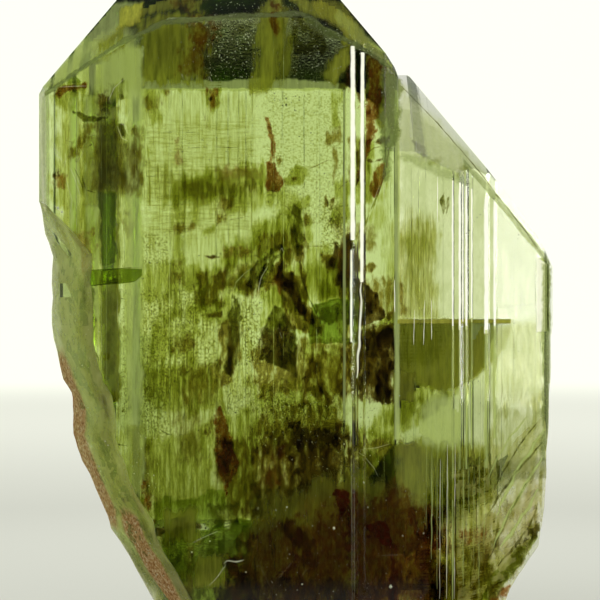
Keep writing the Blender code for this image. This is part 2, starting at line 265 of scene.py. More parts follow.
def crust_material():
    """Worn skin, dull grey green, and the limonite rind that the rock left at the lower left: tan
    at the outer edge, and lower down a granular band of rust and pale grains beside the front."""
    made, tree = new_material("worn_skin_and_limonite_rind")
    place = node(tree, "TexCoord").outputs["Object"]
    axes = node(tree, "SeparateXYZ", {}, Vector=place)
    x, y, z = axes.outputs["X"], axes.outputs["Y"], axes.outputs["Z"]
    lumps = node(tree, "Mapping", {}, Vector=place, Scale=per_mm(0.9, 0.9, 0.7))
    patches = node(tree, "TexNoise", {}, Vector=lumps, Scale=1.0, Detail=5.0, Roughness=0.65)
    fine = node(tree, "Mapping", {}, Vector=place, Scale=per_mm(5.0, 5.0, 4.0))
    grains = node(tree, "TexNoise", {}, Vector=fine, Scale=1.0, Detail=4.0, Roughness=0.7)

    # the outer edge, between two heights
    outer = node(tree, "MapRange", {}, Value=y, From_Min=-3.0 * MM, From_Max=-1.6 * MM)
    under = node(tree, "MapRange", {}, Value=z, From_Min=20.5 * MM, From_Max=17.5 * MM)
    over = node(tree, "MapRange", {}, Value=z, From_Min=6.6 * MM, From_Max=8.4 * MM, To_Min=0.25, To_Max=1.0)
    outer = node(tree, "Math", MULTIPLY, i0=outer, i1=under)
    outer = node(tree, "Math", MULTIPLY, i0=outer, i1=over)

    # the lower band beside the front
    off = node(tree, "Math", {"operation": "ADD"}, i0=y, i1=3.5 * MM)
    off = node(tree, "Math", {"operation": "ABSOLUTE"}, i0=off)
    inner = node(tree, "MapRange", {}, Value=off, From_Min=1.5 * MM, From_Max=0.5 * MM)
    low = node(tree, "MapRange", {}, Value=z, From_Min=9.6 * MM, From_Max=7.2 * MM)
    inner = node(tree, "Math", MULTIPLY, i0=inner, i1=low)

    # both on the left side alone, with edges broken up by the grains and patches
    kept = node(tree, "Math", {"operation": "MAXIMUM"}, i0=outer, i1=inner)
    left = node(tree, "MapRange", {}, Value=x, From_Min=-6.0 * MM, From_Max=-7.0 * MM)
    kept = node(tree, "Math", MULTIPLY, i0=kept, i1=left)
    kept = node(tree, "Math", MULTIPLY_ADD, i0=grains, i1=0.5, i2=kept)
    kept = node(tree, "Math", MULTIPLY_ADD, i0=patches, i1=0.5, i2=kept)
    rind = node(tree, "MapRange", SMOOTH, Value=kept, From_Min=0.75, From_Max=1.15)

    colours = node(tree, "ValToRGB", {}, Fac=grains)
    set_ramp(colours, (0.34, "#6E4426"), (0.45, "#C08A54"), (0.56, "#DCB888"), (0.68, "#F4ECD0"))
    skin = node(tree, "ValToRGB", {}, Fac=patches)
    set_ramp(skin, (0.35, "#B4B654"), (0.65, "#ECEA98"))
    tone = node(tree, "Mix", {"data_type": "RGBA"}, Factor=rind, A=skin, B=colours).outputs["Result"]
    cover = node(tree, "MapRange", {}, Value=rind, From_Min=0.0, From_Max=1.0, To_Min=0.42, To_Max=0.9)
    shown = node(tree, "BsdfDiffuse", {}, Color=tone, Roughness=0.8)
    glow = node(tree, "BsdfTranslucent", {}, Color=tone)
    thin = node(tree, "MixShader", {}, i0=0.5, i1=shown, i2=glow)
    clear = node(tree, "BsdfTransparent", {}, Color=(1, 1, 1, 1))
    both = node(tree, "MixShader", {}, i0=cover, i1=clear, i2=thin)
    node(tree, "OutputMaterial", {}, Surface=both)
    return made


def rock_crust():
    """The worn skin of the rough faces."""
    belongs(add_object("rock_crust", crust_shape(), crust_material()))


# Films inside the crystal

def film_material(name, thin, thick, grain, ragged=0.5, sharp=0.12, uneven=0.5, gaps=0.0, scatter=None,
                  share=0.0, painted_glow=0.0):
    """A stained crack or healed layer, thinner than paper. It tints what shows through it, from
    thin to thick where it is densest, by streaks: grain is how many to a millimetre along X, Y
    and Z. gaps thins it out to separate streaks. scatter is the colour that it shows by its own,
    and share how much. Where a glow strength is given, that colour glows by emission instead: a
    painted highlight that stands for the light of a soft box that a bevel sends to the eye."""
    made, tree = new_material(name)
    cover = node(tree, "Attribute", {"attribute_name": "cover"}).outputs["Fac"]
    dense = node(tree, "Attribute", {"attribute_name": "dense"}).outputs["Fac"]
    place = node(tree, "TexCoord").outputs["Object"]
    along = node(tree, "Mapping", {}, Vector=place, Scale=per_mm(*grain))
    streak = node(tree, "TexNoise", {}, Vector=along, Scale=1.0, Detail=4.0, Roughness=0.62)
    uncovered = node(tree, "Math", {"operation": "SUBTRACT"}, i0=cover, i1=0.5 * ragged + gaps)
    edge = node(tree, "Math", MULTIPLY_ADD, i0=streak, i1=ragged, i2=uncovered)
    shape = node(tree, "MapRange", SMOOTH, Value=edge, From_Min=0.5 - sharp, From_Max=0.5 + sharp)
    patchy = node(tree, "MapRange", {}, Value=streak, From_Min=0.36, From_Max=0.62, To_Min=1.0 - uneven)
    held = node(tree, "Math", MULTIPLY, i0=shape, i1=dense)
    held = node(tree, "Math", MULTIPLY, i0=held, i1=patchy)
    tint = node(tree, "ValToRGB", {}, Fac=held)
    set_ramp(tint, (0.0, "#FFFFFF"), (0.5, thin), (1.0, thick))
    film = node(tree, "BsdfTransparent", {}, Color=tint)
    if scatter:
        # painted glow: the scatter colour as emission, a painted highlight
        if painted_glow:
            glow = node(tree, "Emission", {}, Color=linear(scatter), Strength=painted_glow)
        else:
            through = node(tree, "BsdfTranslucent", {}, Color=linear(scatter))
            back = node(tree, "BsdfDiffuse", {}, Color=linear(scatter))
            glow = node(tree, "MixShader", {}, i0=0.45, i1=through, i2=back)
        part = node(tree, "Math", MULTIPLY, i0=held, i1=share)
        film = node(tree, "MixShader", {}, i0=part, i1=film, i2=glow)
    node(tree, "OutputMaterial", {}, Surface=film)
    return made


def film_kinds():
    """Finish of each kind of film, by the name used in FILMS."""
    return {
        # iron-bearing layers, olive by transmitted light, streaked along the crystal
        "olive": film_material("olive_iron_veil", "#CFD08C", "#A3A54A", (3.4, 1.0, 0.5), 1.3, 0.38, 0.65),
        # the same where it hangs before a dark face, and glows by the light it scatters
        "haze": film_material("olive_scattering_veil", "#D0CE84", "#A2A040", (3.0, 1.0, 0.4), 0.9, 0.35, 0.5,
                              scatter="#E2E064", share=0.95),
        # a paler layer that passes on more of the light behind it, and glows by emission as painted light
        "pale": film_material("pale_layer_with_painted_glow", "#E4E8B0", "#C8D08C", (3.4, 1.0, 0.4), 0.8, 0.4, 0.3,
                              scatter="#BCCC7C", share=0.8, painted_glow=0.8),
        # brown iron oxide that crept into cracks
        "brown": film_material("brown_iron_oxide_film", "#B0A060", "#6C5C2C", (2.8, 1.0, 1.0), 1.5, 0.34,
                               0.7),
        # thick limonite, nearly opaque by transmitted light
        "umber": film_material("thick_limonite_film", "#8C7848", "#3E3214", (2.2, 1.0, 1.1), 1.4, 0.30, 0.6),
        # red-brown rust, opaque enough to show its own colour
        "rust": film_material("red_brown_rust_film", "#C29A64", "#8A5A2C", (3.0, 2.0, 1.6), 1.5, 0.28, 0.65,
                              scatter="#B86C34", share=0.35),
        "red": film_material("red_hematite_film", "#B87850", "#863420", (3.0, 2.0, 2.4), 1.4, 0.16, 0.6, 0.15,
                             scatter="#A83C24", share=0.4),
        # gas-filled gaps with straight edges, deep green
        "green": film_material("green_growth_gap", "#BECA7A", "#8C9E3C", (3.0, 1.0, 0.3), 0.12, 0.08, 0.3),
        # flakes lying across the light, nearly black
        "dark": film_material("dark_crystal_flake", "#9A985A", "#525020", (2.6, 1.0, 1.2), 1.3, 0.26, 0.65),
        # fine etched lines along and across the crystal
        "etched": film_material("etched_growth_lines", "#D4D29C", "#A6A456", (8.0, 1.0, 0.5), 2.4, 0.6,
                                0.3, 0.55),
        "crossed": film_material("etched_cross_lines", "#DAD8A8", "#B2B06A", (1.0, 1.0, 8.5), 2.4, 0.6,
                                 0.3, 0.60),
        # pepper-fine pits that hold a little iron
        "pitted": film_material("pitted_growth_layer", "#C4C288", "#8E8C4A", (8.0, 5.0, 6.5), 2.8, 0.5,
                                0.3, 0.70),
        # a faint grey-green layer
        "veil": film_material("faint_grey_layer", "#EAECD8", "#C9CFA8", (1.2, 1.0, 0.5), 0.3, 0.4, 0.3),
        # worn and frosted edges, whitish because they scatter light
        "frost": film_material("frosted_worn_edge", "#CCD2AC", "#A2AA78", (5.0, 5.0, 5.0), 0.5, 0.3, 0.3,
                               scatter="#A8B47C", share=0.6),
        # open cracks with a painted glint along a line: they glow by emission
        "bright": film_material("crack_with_painted_glint", "#F0F4D8", "#D8E0A8", (3.0, 3.0, 3.0), 0.5, 0.3, 0.3,
                                scatter="#FFFFE4", share=0.75, painted_glow=0.8),
        # narrow bevels with a painted highlight: a white glow by emission that stands for the light of the
        # soft boxes
        "gleam": film_material("growth_step_painted_highlight", "#FFFFFF", "#FFFFF4", (1.0, 1.0, 1.2), 0.3, 0.2, 0.1,
                               scatter="#FFFFE8", share=1.0, painted_glow=1.05),
    }


def distance_inside(points, x, z):
    """How far each place is inside an outline, negative outside, in millimetres."""
    nearest = np.full(x.shape, 1e9)
    inside = np.zeros(x.shape, bool)
    for (ax, az), (bx, bz) in zip(points, points[1:] + points[:1]):
        dx, dz = bx - ax, bz - az
        along = np.clip(((x - ax) * dx + (z - az) * dz) / (dx * dx + dz * dz + 1e-12), 0, 1)
        nearest = np.minimum(nearest, np.hypot(x - ax - along * dx, z - az - along * dz))
        crosses = (az > z) != (bz > z)
        with np.errstate(divide="ignore", invalid="ignore"):
            inside ^= crosses & (x < ax + (z - az) * dx / (dz if dz else 1e-12))
    return np.where(inside, nearest, -nearest)


class Film:
    """Collects the films of one kind as one mesh. layers counts those on the front, of all kinds."""

    layers = 0
    # Millimetres: the least and most between a film's points, between those of a line, and how
    # far a film inside the crystal rises and falls
    FINEST = 0.09
    COARSEST = 0.24
    LINE_STEP = 0.3
    SWELL = 0.25

    def __init__(self, surface):
        self.surface = surface
        self.places = []
        self.faces = []
        self.cover = []
        self.dense = []

    def front_at(self, x, z):
        """Y of the crystal's front at a place, with the skin on it, or None beside the crystal."""
        hit = self.surface.ray_cast(Vector((x * MM, -50 * MM, z * MM)), Vector((0, 1, 0)))[0]
        return hit.y / MM - SKIN - HAIR * Film.layers if hit else None

    def inside(self, x, y, z):
        """y, or None where that place is outside the crystal."""
        front = self.front_at(x, z)
        if front is None or y < front:
            return None
        place = Vector((x, y, z)) * MM
        near, normal, _, _ = self.surface.find_nearest(place)
        return y if (place - near).dot(normal) < 0 else None

    def add(self, outline, depth, soft, strength, wavy=0.5):
        """One film, its outline in pixels of the photograph, its edge fading over soft."""
        if depth == ON_FRONT:
            Film.layers += 1
        points = [seen(px, py, max(depth, 0.0)) for px, py in pairs(outline)]
        xs = [p[0] for p in points]
        zs = [p[1] for p in points]
        step = min(max(soft / 2.2, self.FINEST), self.COARSEST)
        reach = soft * (1 + wavy)
        x, z = np.meshgrid(np.arange(min(xs) - reach, max(xs) + reach + step, step),
                           np.arange(min(zs) - reach, max(zs) + reach + step, step))
        depth_in = distance_inside(points, x, z)
        names = {}

        def corner(c):
            if c in names:
                return names[c]
            px, pz = float(x[c]), float(z[c])
            if depth == ON_FRONT:
                y = self.front_at(px, pz)
            else:
                y = FRONT + depth + self.SWELL * noise.noise(Vector((px * 0.4, depth * 7, pz * 0.4)))
            if y is None:
                return None
            if depth != ON_FRONT and self.inside(px, y, pz) is None:
                return None
            # the edge wanders in slow waves, with finer ones on them
            sway = noise.noise(Vector((px * 0.9, depth * 5, pz * 0.9)))
            sway += 0.5 * noise.noise(Vector((px * 2.7, depth * 9, pz * 2.7)))
            names[c] = len(self.places)
            self.places.append((px * MM, y * MM, pz * MM))
            self.cover.append(min(max(0.5 + (depth_in[c] + sway * wavy * soft * 1.6) / soft / 2, 0.0), 1.0))
            self.dense.append(strength)
            return names[c]

        for i in range(x.shape[0] - 1):
            for j in range(x.shape[1] - 1):
                corners = ((i, j), (i, j + 1), (i + 1, j + 1), (i + 1, j))
                if max(depth_in[c] for c in corners) < -reach:
                    continue
                face = [corner(c) for c in corners]
                if None not in face:
                    self.faces.append(face)

    def line(self, course, depth, width, strength, wavy=1.0):
        """A thin streak along a course of pixels, pointed at both ends where it is wavy."""
        if depth == ON_FRONT:
            Film.layers += 1
        points = [Vector(seen(px, py, max(depth, 0.0))) for px, py in pairs(course)]
        fine = []
        for a, b in zip(points, points[1:]):
            pieces = max(1, round((b - a).length / self.LINE_STEP))
            fine += [a.lerp(b, k / pieces) for k in range(pieces)]
        fine.append(points[-1])
        rows = []
        for k, p in enumerate(fine):
            way = (fine[min(k + 1, len(fine) - 1)] - fine[max(k - 1, 0)]).normalized()
            side = Vector((-way.y, way.x))
            lean = noise.noise(Vector((p.x * 1.3, depth, p.y * 1.3))) * width * 0.6 * wavy
            end = min(k, len(fine) - 1 - k) / max(1, len(fine) - 1) * 2
            tapered = 1 - 0.65 * wavy * (1 - min(1.0, end * 2.5))
            half = width * tapered * (1 - 0.2 * wavy + 0.4 * wavy * noise.noise(Vector((p.x, p.y, 3.1))))
            row = []
            for shift, cover in ((-1.0, 0.0), (0.0, 1.0), (1.0, 0.0)):
                x = p.x + side.x * (shift * half + lean)
                z = p.y + side.y * (shift * half + lean)
                y = self.front_at(x, z) if depth == ON_FRONT else self.inside(x, FRONT + depth, z)
                if y is None:
                    row = None
                    break
                row.append((x * MM, y * MM, z * MM, cover))
            rows.append(row)
        for a, b in zip(rows, rows[1:]):
            if a is None or b is None:
                continue
            for side in (0, 1):
                first = len(self.places)
                for x, y, z, cover in (a[side], a[side + 1], b[side + 1], b[side]):
                    self.places.append((x, y, z))
                    self.cover.append(cover)
                    self.dense.append(strength)
                self.faces.append([first, first + 1, first + 2, first + 3])

    def build(self, name, material):
        mesh = bpy.data.meshes.new(name)
        mesh.from_pydata(self.places, [], self.faces)
        for title, values in (("cover", self.cover), ("dense", self.dense)):
            layer = mesh.attributes.new(title, "FLOAT", "POINT")
            layer.data.foreach_set("value", values)
        mesh.shade_smooth()
        return belongs(add_object(name, mesh, material))


# Each film inside the crystal: kind, depth behind the front face, softness of its edge, strength,
# and its outline in the photograph's pixels. A last number says how wavy the edge is.
FILMS = [
    # Chisel-shaped top
    ("olive", 1.3, 0.42, 0.6, (109, 98, 119, 82, 128, 78, 126, 88, 122, 98, 116, 104)),
    ("olive", 1.8, 0.68, 0.5, (82, 72, 98, 62, 104, 112, 84, 114)),
    ("olive", 2.8, 0.51, 0.5, (240, 28, 250, 24, 248, 48, 240, 46)),
    ("olive", 3.3, 0.24, 0.8, (178, 78, 184, 78, 183, 92, 178, 90)),
    ("haze", 1.0, 0.35, 1.0, (340, 30, 352, 28, 356, 40, 350, 46, 342, 42)),
    ("haze", 1.1, 0.35, 1.0, (340, 48, 350, 46, 350, 62, 340, 76, 334, 84, 324, 80, 322, 74, 330, 64,
                              336, 56)),
    ("haze", 1.4, 0.64, 0.8, (138, 0, 182, 0, 178, 12, 160, 18, 140, 22)),
    ("haze", 1.4, 0.64, 0.8, (88, 52, 120, 18, 128, 22, 126, 40, 96, 60)),
    ("haze", 1.5, 0.56, 0.8, (186, 0, 204, 0, 200, 18, 186, 18)),
    ("haze", 1.6, 0.5, 1.0, (292, 0, 340, 0, 358, 38, 336, 30, 300, 12)),
    ("haze", 2.0, 0.64, 1.0, (262, 0, 282, 0, 286, 30, 280, 60, 272, 88, 252, 92, 256, 60)),
    ("haze", 2.2, 0.72, 1.0, (139, 26, 168, 20, 203, 22, 206, 60, 200, 82, 142, 84)),
    ("haze", 2.4, 0.56, 0.6, (278, 16, 292, 18, 294, 70, 282, 86, 276, 70)),
    ("pale", 1.6, 0.6, 0.6, (96, 34, 122, 24, 136, 40, 140, 88, 70, 92, 60, 78)),
    ("pale", 2.0, 0.25, 0.9, (126, 50, 143, 48, 143, 130, 128, 130)),
    ("pale", 2.4, 0.4, 1.0, (100, 56, 138, 44, 142, 96, 92, 104)),
    ("pale", 2.6, 0.12, 0.8, (142, 79, 206, 80, 212, 82, 262, 78, 300, 80, 345, 83, 345, 90, 142, 90), 0.6),
    ("brown", 3.2, 0.19, 0.8, (162, 82, 170, 80, 169, 92, 165, 96)),
    ("umber", 2.0, 0.28, 0.8, (356, 68, 366, 66, 366, 102, 358, 102)),
    ("rust", 0.6, 0.2, 0.9, (55, 91, 62, 87, 76, 86, 86, 84, 86, 87, 72, 90, 58, 97)),
    ("rust", 1.2, 0.28, 0.75, (271, 2, 279, 6, 280, 30, 275, 36, 272, 24)),
    ("rust", 1.2, 0.42, 1.0, (368, 50, 380, 52, 384, 66, 382, 88, 378, 110, 368, 114, 364, 108, 372, 84)),
    ("rust", 1.3, 0.42, 0.45, (172, 0, 190, 0, 188, 14, 176, 12)),
    ("rust", 1.3, 0.28, 0.5, (348, 66, 354, 64, 354, 90, 346, 88)),
    ("rust", 1.6, 0.56, 0.6, (192, 24, 218, 22, 219, 34, 206, 48, 198, 50, 194, 40)),
    ("rust", 1.8, 0.63, 0.45, (180, 50, 204, 48, 206, 74, 182, 70)),
    ("green", 0.5, 0.16, 0.5, (67, 77, 76, 74, 82, 83, 66, 85)),
    ("dark", 1.2, 0.2, 0.75, (118, 84, 123, 80, 122, 98, 120, 99)),
    ("dark", 1.5, 0.23, 0.8, (339, 82, 348, 74, 350, 86, 344, 92, 340, 88)),
    ("dark", 2.4, 0.4, 0.7, (292, 16, 322, 24, 330, 52, 294, 54)),
    ("dark", 2.6, 0.52, 0.55, (146, 36, 172, 24, 190, 30, 186, 52, 160, 66, 144, 60)),
    ("dark", 3.4, 0.65, 0.4, (206, 24, 256, 20, 252, 80, 208, 80)),
    ("etched", 3.0, 0.4, 0.7, (82, 64, 140, 56, 140, 118, 84, 116)),
    # Upper left
    ("olive", 0.7, 0.42, 1.0, (54, 92, 62, 86, 84, 85, 82, 92, 71, 96, 72, 112, 64, 112, 56, 102)),
    ("olive", 1.0, 0.59, 0.45, (74, 206, 84, 194, 95, 196, 95, 270, 82, 276, 74, 240)),
    ("olive", 1.2, 0.4, 0.5, (98, 120, 118, 120, 118, 190, 94, 192)),
    ("olive", 1.6, 0.51, 0.5, (74, 94, 84, 92, 82, 108, 73, 110)),
    ("olive", 2.4, 0.51, 0.7, (96, 194, 118, 194, 118, 222, 96, 222)),
    ("olive", 2.5, 0.8, 0.7, (52, 100, 104, 100, 100, 240, 58, 240)),
    ("olive", 2.8, 0.85, 1.0, (102, 116, 114, 124, 124, 142, 140, 140, 140, 192, 86, 194, 90, 160)),
    ("haze", 2.0, 0.3, 0.6, (84, 136, 98, 136, 98, 204, 86, 204), 0.5),
    ("haze", 2.6, 0.25, 1.0, (99, 108, 118, 108, 119, 402, 102, 402), 0.5),
    ("pale", 1.4, 0.4, 0.2, (86, 108, 118, 108, 118, 390, 92, 390)),
    ("pale", 1.8, 0.12, 0.8, (70, 93, 78, 93, 78, 242, 70, 240), 0.4),
    ("pale", 2.1, 0.15, 0.8, (84, 96, 98, 96, 98, 320, 86, 300), 0.5),
    ("pale", 2.2, 0.12, 1.0, (70, 93, 78.5, 93, 78.5, 242, 70, 240), 0.4),
    ("pale", 2.3, 0.3, 0.85, (126, 130, 142, 130, 142, 430, 127, 430), 0.5),
    ("pale", 2.7, 0.15, 1.0, (83, 96, 99, 96, 99, 320, 85, 300), 0.5),
    ("brown", 1.0, 0.35, 0.75, (84, 124, 98, 122, 86, 140, 76, 158, 71, 156, 74, 142)),
    ("brown", 1.1, 0.5, 0.4, (100, 118, 114, 118, 126, 142, 140, 140, 140, 192, 88, 194, 92, 160)),
    ("brown", 1.6, 0.4, 0.55, (130, 130, 141, 128, 141, 190, 134, 190)),
    ("brown", 2.2, 0.72, 0.7, (98, 122, 110, 122, 112, 150, 104, 188, 90, 192, 92, 160)),
    ("brown", 3.0, 0.64, 0.6, (108, 160, 140, 158, 139, 190, 106, 192)),
    ("brown", 4.4, 0.4, 0.8, (125, 212, 136, 212, 135, 234, 128, 236)),
    ("umber", 0.5, 0.25, 0.95, (52, 169, 57, 166, 62, 170, 60, 175, 54, 176)),
    ("umber", 1.0, 0.3, 0.2, (104, 126, 112, 124, 112, 186, 102, 186)),
    ("umber", 1.4, 0.56, 0.65, (96, 94, 109, 92, 109, 112, 104, 118, 98, 114)),
    ("umber", 2.0, 0.35, 0.6, (98, 172, 110, 160, 112, 184, 100, 186)),
    ("rust", 0.6, 0.31, 0.5, (54, 176, 66, 174, 66, 186, 58, 186)),
    ("rust", 1.1, 0.42, 0.4, (76, 232, 94, 230, 94, 272, 84, 276, 78, 250)),
    ("green", 0.6, 0.05, 1.0, (80, 272, 92, 270, 118, 268, 142, 269, 142, 276, 134, 282, 118, 284,
                               84, 287), 0.3),
    ("green", 1.0, 0.2, 0.45, (99, 192, 116, 192, 115, 262, 102, 266)),
    ("green", 2.0, 0.33, 0.95, (99, 192, 116, 192, 115, 272, 102, 272)),
    ("dark", 0.8, 0.13, 1.0, (118, 124, 123, 125, 128, 136, 127, 139, 122, 136)),
    ("dark", 1.1, 0.16, 0.75, (74, 112, 88, 117, 108, 116, 109, 119, 98, 121, 84, 120)),
    ("dark", 3.2, 0.39, 0.45, (112, 140, 132, 144, 134, 178, 110, 176)),
    ("etched", 3.4, 0.4, 0.7, (56, 120, 140, 120, 140, 300, 60, 250)),
    # Left column below the bar
    ("olive", 1.3, 0.5, 0.3, (100, 284, 118, 284, 118, 386, 104, 390)),
    ("olive", 1.6, 0.34, 0.9, (84, 288, 90, 287, 91, 312, 86, 316)),
    ("olive", 3.0, 0.6, 0.8, (88, 282, 104, 282, 112, 400, 92, 396)),
    ("haze", 1.6, 0.25, 0.9, (102, 280, 118, 280, 119, 402, 104, 402), 0.5),
    ("green", 3.2, 0.2, 1.0, (104, 286, 115, 286, 116, 372, 105, 384)),
    ("dark", 1.1, 0.25, 0.25, (105, 290, 114, 290, 114, 370, 106, 380)),
    ("dark", 1.9, 0.26, 0.8, (90, 287, 95, 288, 96, 322, 94, 356, 90, 330)),
    ("dark", 3.4, 0.39, 0.5, (105, 300, 114, 292, 114, 360, 106, 372)),
    ("veil", 4.0, 0.8, 0.9, (118, 330, 160, 330, 160, 440, 110, 430)),
    # Upper middle, the left half of the clear window
    ("olive", 2.6, 0.34, 1.0, (202, 78, 218, 80, 219, 104, 212, 112, 204, 102)),
    ("olive", 2.6, 0.27, 1.0, (232, 286, 236, 276, 250, 266, 254, 268, 252, 288, 248, 296, 238, 294)),
    ("olive", 3.5, 0.4, 0.5, (224, 250, 262, 226, 292, 200, 300, 222, 296, 262, 262, 258, 240, 284,
                              224, 292)),
    ("olive", 3.6, 0.42, 0.9, (142, 82, 166, 82, 162, 96, 158, 120, 152, 126, 146, 118)),
    ("olive", 3.9, 0.5, 0.7, (142, 262, 172, 262, 172, 302, 142, 302)),
    ("olive", 4.1, 0.2, 0.9, (203, 232, 218, 222, 222, 214, 222, 222, 214, 230, 204, 236)),
    ("olive", 4.1, 0.5, 0.8, (222, 190, 262, 186, 290, 180, 286, 204, 250, 212, 226, 216)),
    ("olive", 4.2, 0.68, 1.0, (168, 176, 200, 178, 220, 168, 262, 164, 272, 172, 276, 190, 240, 194,
                               216, 202, 166, 204)),
    ("olive", 4.6, 0.59, 1.0, (222, 244, 258, 246, 256, 262, 222, 268)),
    ("olive", 4.8, 0.59, 0.8, (172, 178, 222, 174, 230, 196, 172, 204)),
    ("olive", 4.8, 0.59, 1.0, (196, 268, 222, 266, 222, 306, 196, 310)),
    ("olive", 5.2, 0.51, 0.9, (182, 262, 204, 260, 206, 292, 184, 290)),
    ("olive", 5.4, 0.42, 0.8, (192, 200, 200, 200, 199, 224, 192, 222)),
    ("olive", 5.6, 0.42, 0.8, (172, 202, 184, 202, 182, 316, 172, 316)),
    ("brown", 2.5, 0.19, 0.5, (203, 112, 206, 112, 209, 128, 205, 128)),
    ("brown", 2.7, 0.32, 0.6, (236, 286, 252, 278, 254, 292, 246, 298)),
    ("brown", 3.0, 0.3, 0.7, (238, 282, 262, 284, 262, 300, 244, 300)),
    ("brown", 3.4, 0.4, 0.6, (144, 99, 158, 98, 158, 108, 146, 110)),
    ("brown", 4.0, 0.32, 0.8, (218, 196, 236, 196, 228, 212, 222, 226, 216, 226, 218, 210)),
    ("brown", 4.5, 0.64, 0.4, (182, 186, 262, 178, 262, 192, 186, 198)),
    ("brown", 4.6, 0.56, 0.75, (198, 276, 222, 272, 222, 302, 198, 304)),
    ("brown", 4.7, 0.56, 0.5, (222, 262, 258, 262, 256, 284, 236, 290, 222, 286)),
    ("brown", 5.0, 0.48, 0.6, (172, 262, 182, 262, 182, 282, 172, 282)),
    ("brown", 5.2, 0.32, 0.7, (174, 226, 194, 224, 196, 230, 176, 234)),
    ("umber", 2.3, 0.14, 0.8, (206, 97, 214, 96, 213, 100, 208, 101)),
    ("umber", 5.0, 0.1, 0.8, (206, 256, 216, 255, 220, 257, 214, 259, 208, 258)),
    ("rust", 2.4, 0.28, 0.6, (205, 86, 218, 88, 218, 106, 210, 110)),
    ("rust", 3.7, 0.17, 0.9, (264, 116, 270, 118, 274, 140, 275, 152, 271, 164, 269, 160, 271, 142,
                              266, 124)),
    ("rust", 3.8, 0.22, 1.0, (268, 162, 274, 163, 283, 184, 280, 190, 268, 192, 266, 178)),
    ("rust", 4.0, 0.49, 0.35, (218, 170, 262, 166, 262, 176, 220, 180)),
    ("rust", 4.4, 0.35, 0.4, (224, 248, 254, 248, 254, 256, 224, 258)),
    ("rust", 4.6, 0.28, 0.35, (176, 140, 180, 138, 181, 162, 176, 162)),
    ("dark", 2.8, 0.26, 0.95, (272, 258, 284, 248, 286, 250, 276, 262, 262, 288, 256, 292, 256, 276)),
    ("dark", 2.9, 0.26, 0.9, (246, 284, 256, 262, 276, 246, 282, 248, 264, 268, 256, 290, 252, 294)),
    ("etched", 5.0, 0.4, 1.0, (142, 158, 172, 160, 174, 204, 142, 206)),
    ("etched", 7.5, 0.6, 0.6, (142, 84, 262, 90, 256, 300, 142, 300)),
    ("crossed", 8.0, 0.6, 0.55, (142, 120, 262, 110, 256, 240, 142, 240)),
    ("pitted", 5.8, 0.5, 0.7, (120, 236, 172, 226, 172, 272, 120, 270)),
    # Upper middle, its right half
    ("olive", 3.8, 0.42, 1.0, (334, 184, 342, 180, 352, 180, 350, 208, 344, 222, 332, 224, 334, 204)),
    ("olive", 3.8, 0.59, 1.0, (254, 226, 282, 218, 298, 204, 310, 222, 304, 248, 284, 262, 256, 258)),
    ("olive", 4.0, 0.24, 0.8, (296, 202, 304, 196, 310, 198, 306, 208, 300, 212)),
    ("olive", 4.6, 0.34, 0.8, (331, 92, 341, 92, 340, 128, 332, 128)),
    ("olive", 4.9, 0.2, 1.0, (283, 180, 290, 170, 298, 166, 308, 169, 307, 176, 300, 184, 288, 184)),
    ("olive", 5.4, 0.68, 0.6, (276, 186, 296, 190, 300, 214, 278, 216)),
    ("brown", 3.6, 0.13, 0.9, (324, 196, 327, 194, 328, 206, 325, 207)),
    ("brown", 3.6, 0.13, 0.9, (331, 200, 335, 198, 334, 206, 331, 210)),
    ("brown", 3.8, 0.22, 0.8, (306, 214, 311, 214, 314, 222, 310, 226, 305, 222)),
    ("brown", 3.9, 0.4, 0.6, (334, 206, 348, 204, 344, 220, 334, 222)),
    ("brown", 4.2, 0.13, 0.8, (276, 160, 280, 157, 284, 160, 278, 166)),
    ("brown", 4.4, 0.19, 0.7, (326, 126, 332, 134, 336, 128, 342, 126, 341, 142, 336, 142, 330, 146,
                               325, 144)),
    ("brown", 4.6, 0.19, 0.6, (333, 146, 337, 146, 337, 162, 335, 186, 332, 184, 334, 162)),
    ("brown", 4.8, 0.13, 0.8, (292, 178, 297, 177, 298, 180, 294, 181)),
    ("dark", 3.2, 0.33, 0.7, (292, 204, 302, 208, 304, 240, 298, 252, 292, 240)),
    ("pitted", 5.0, 0.35, 0.9, (318, 196, 346, 200, 344, 256, 318, 258)),
    ("pitted", 6.8, 0.6, 0.55, (258, 88, 350, 90, 350, 230, 262, 226)),
    # Stained right edge of the main crystal
    ("olive", 1.9, 0.42, 0.9, (366, 164, 386, 163, 384, 176, 376, 194, 372, 192)),
    ("olive", 2.2, 0.3, 1.0, (352, 138, 374, 138, 372, 200, 352, 204)),
    ("olive", 2.6, 0.51, 0.55, (372, 196, 388, 178, 386, 222, 372, 240)),
    ("haze", 2.2, 0.4, 1.0, (366, 50, 398, 72, 398, 112, 386, 150, 376, 110, 366, 88)),
    ("brown", 2.2, 0.3, 0.6, (350, 140, 362, 140, 360, 185, 350, 185)),
    ("brown", 2.4, 0.32, 0.8, (357, 148, 365, 144, 364, 168, 356, 166)),
    ("brown", 3.0, 0.4, 0.5, (336, 226, 372, 226, 372, 250, 340, 250)),
    ("umber", 1.4, 0.2, 0.9, (374, 142, 376, 140, 388, 136, 389, 141, 380, 143)),
    ("umber", 1.5, 0.17, 0.9, (366, 159, 374, 160, 384, 158, 380, 161, 372, 163)),
    ("rust", 1.5, 0.28, 1.0, (366, 112, 377, 108, 376, 124, 378, 130, 372, 144, 366, 152, 362, 150)),
    ("rust", 1.7, 0.21, 0.9, (376, 166, 386, 164, 383, 180, 375, 196, 372, 190)),
    ("red", 1.6, 0.15, 0.7, (366, 138, 374, 136, 370, 150, 360, 176, 354, 190, 353, 182, 360, 160)),
    ("dark", 1.8, 0.26, 0.4, (379, 90, 386, 86, 384, 104, 382, 110, 376, 106)),
    # Middle left
    ("olive", 4.2, 0.4, 0.8, (150, 322, 172, 320, 172, 360, 152, 362)),
    ("olive", 4.4, 0.68, 1.0, (142, 368, 180, 360, 220, 362, 219, 412, 190, 416, 146, 398)),
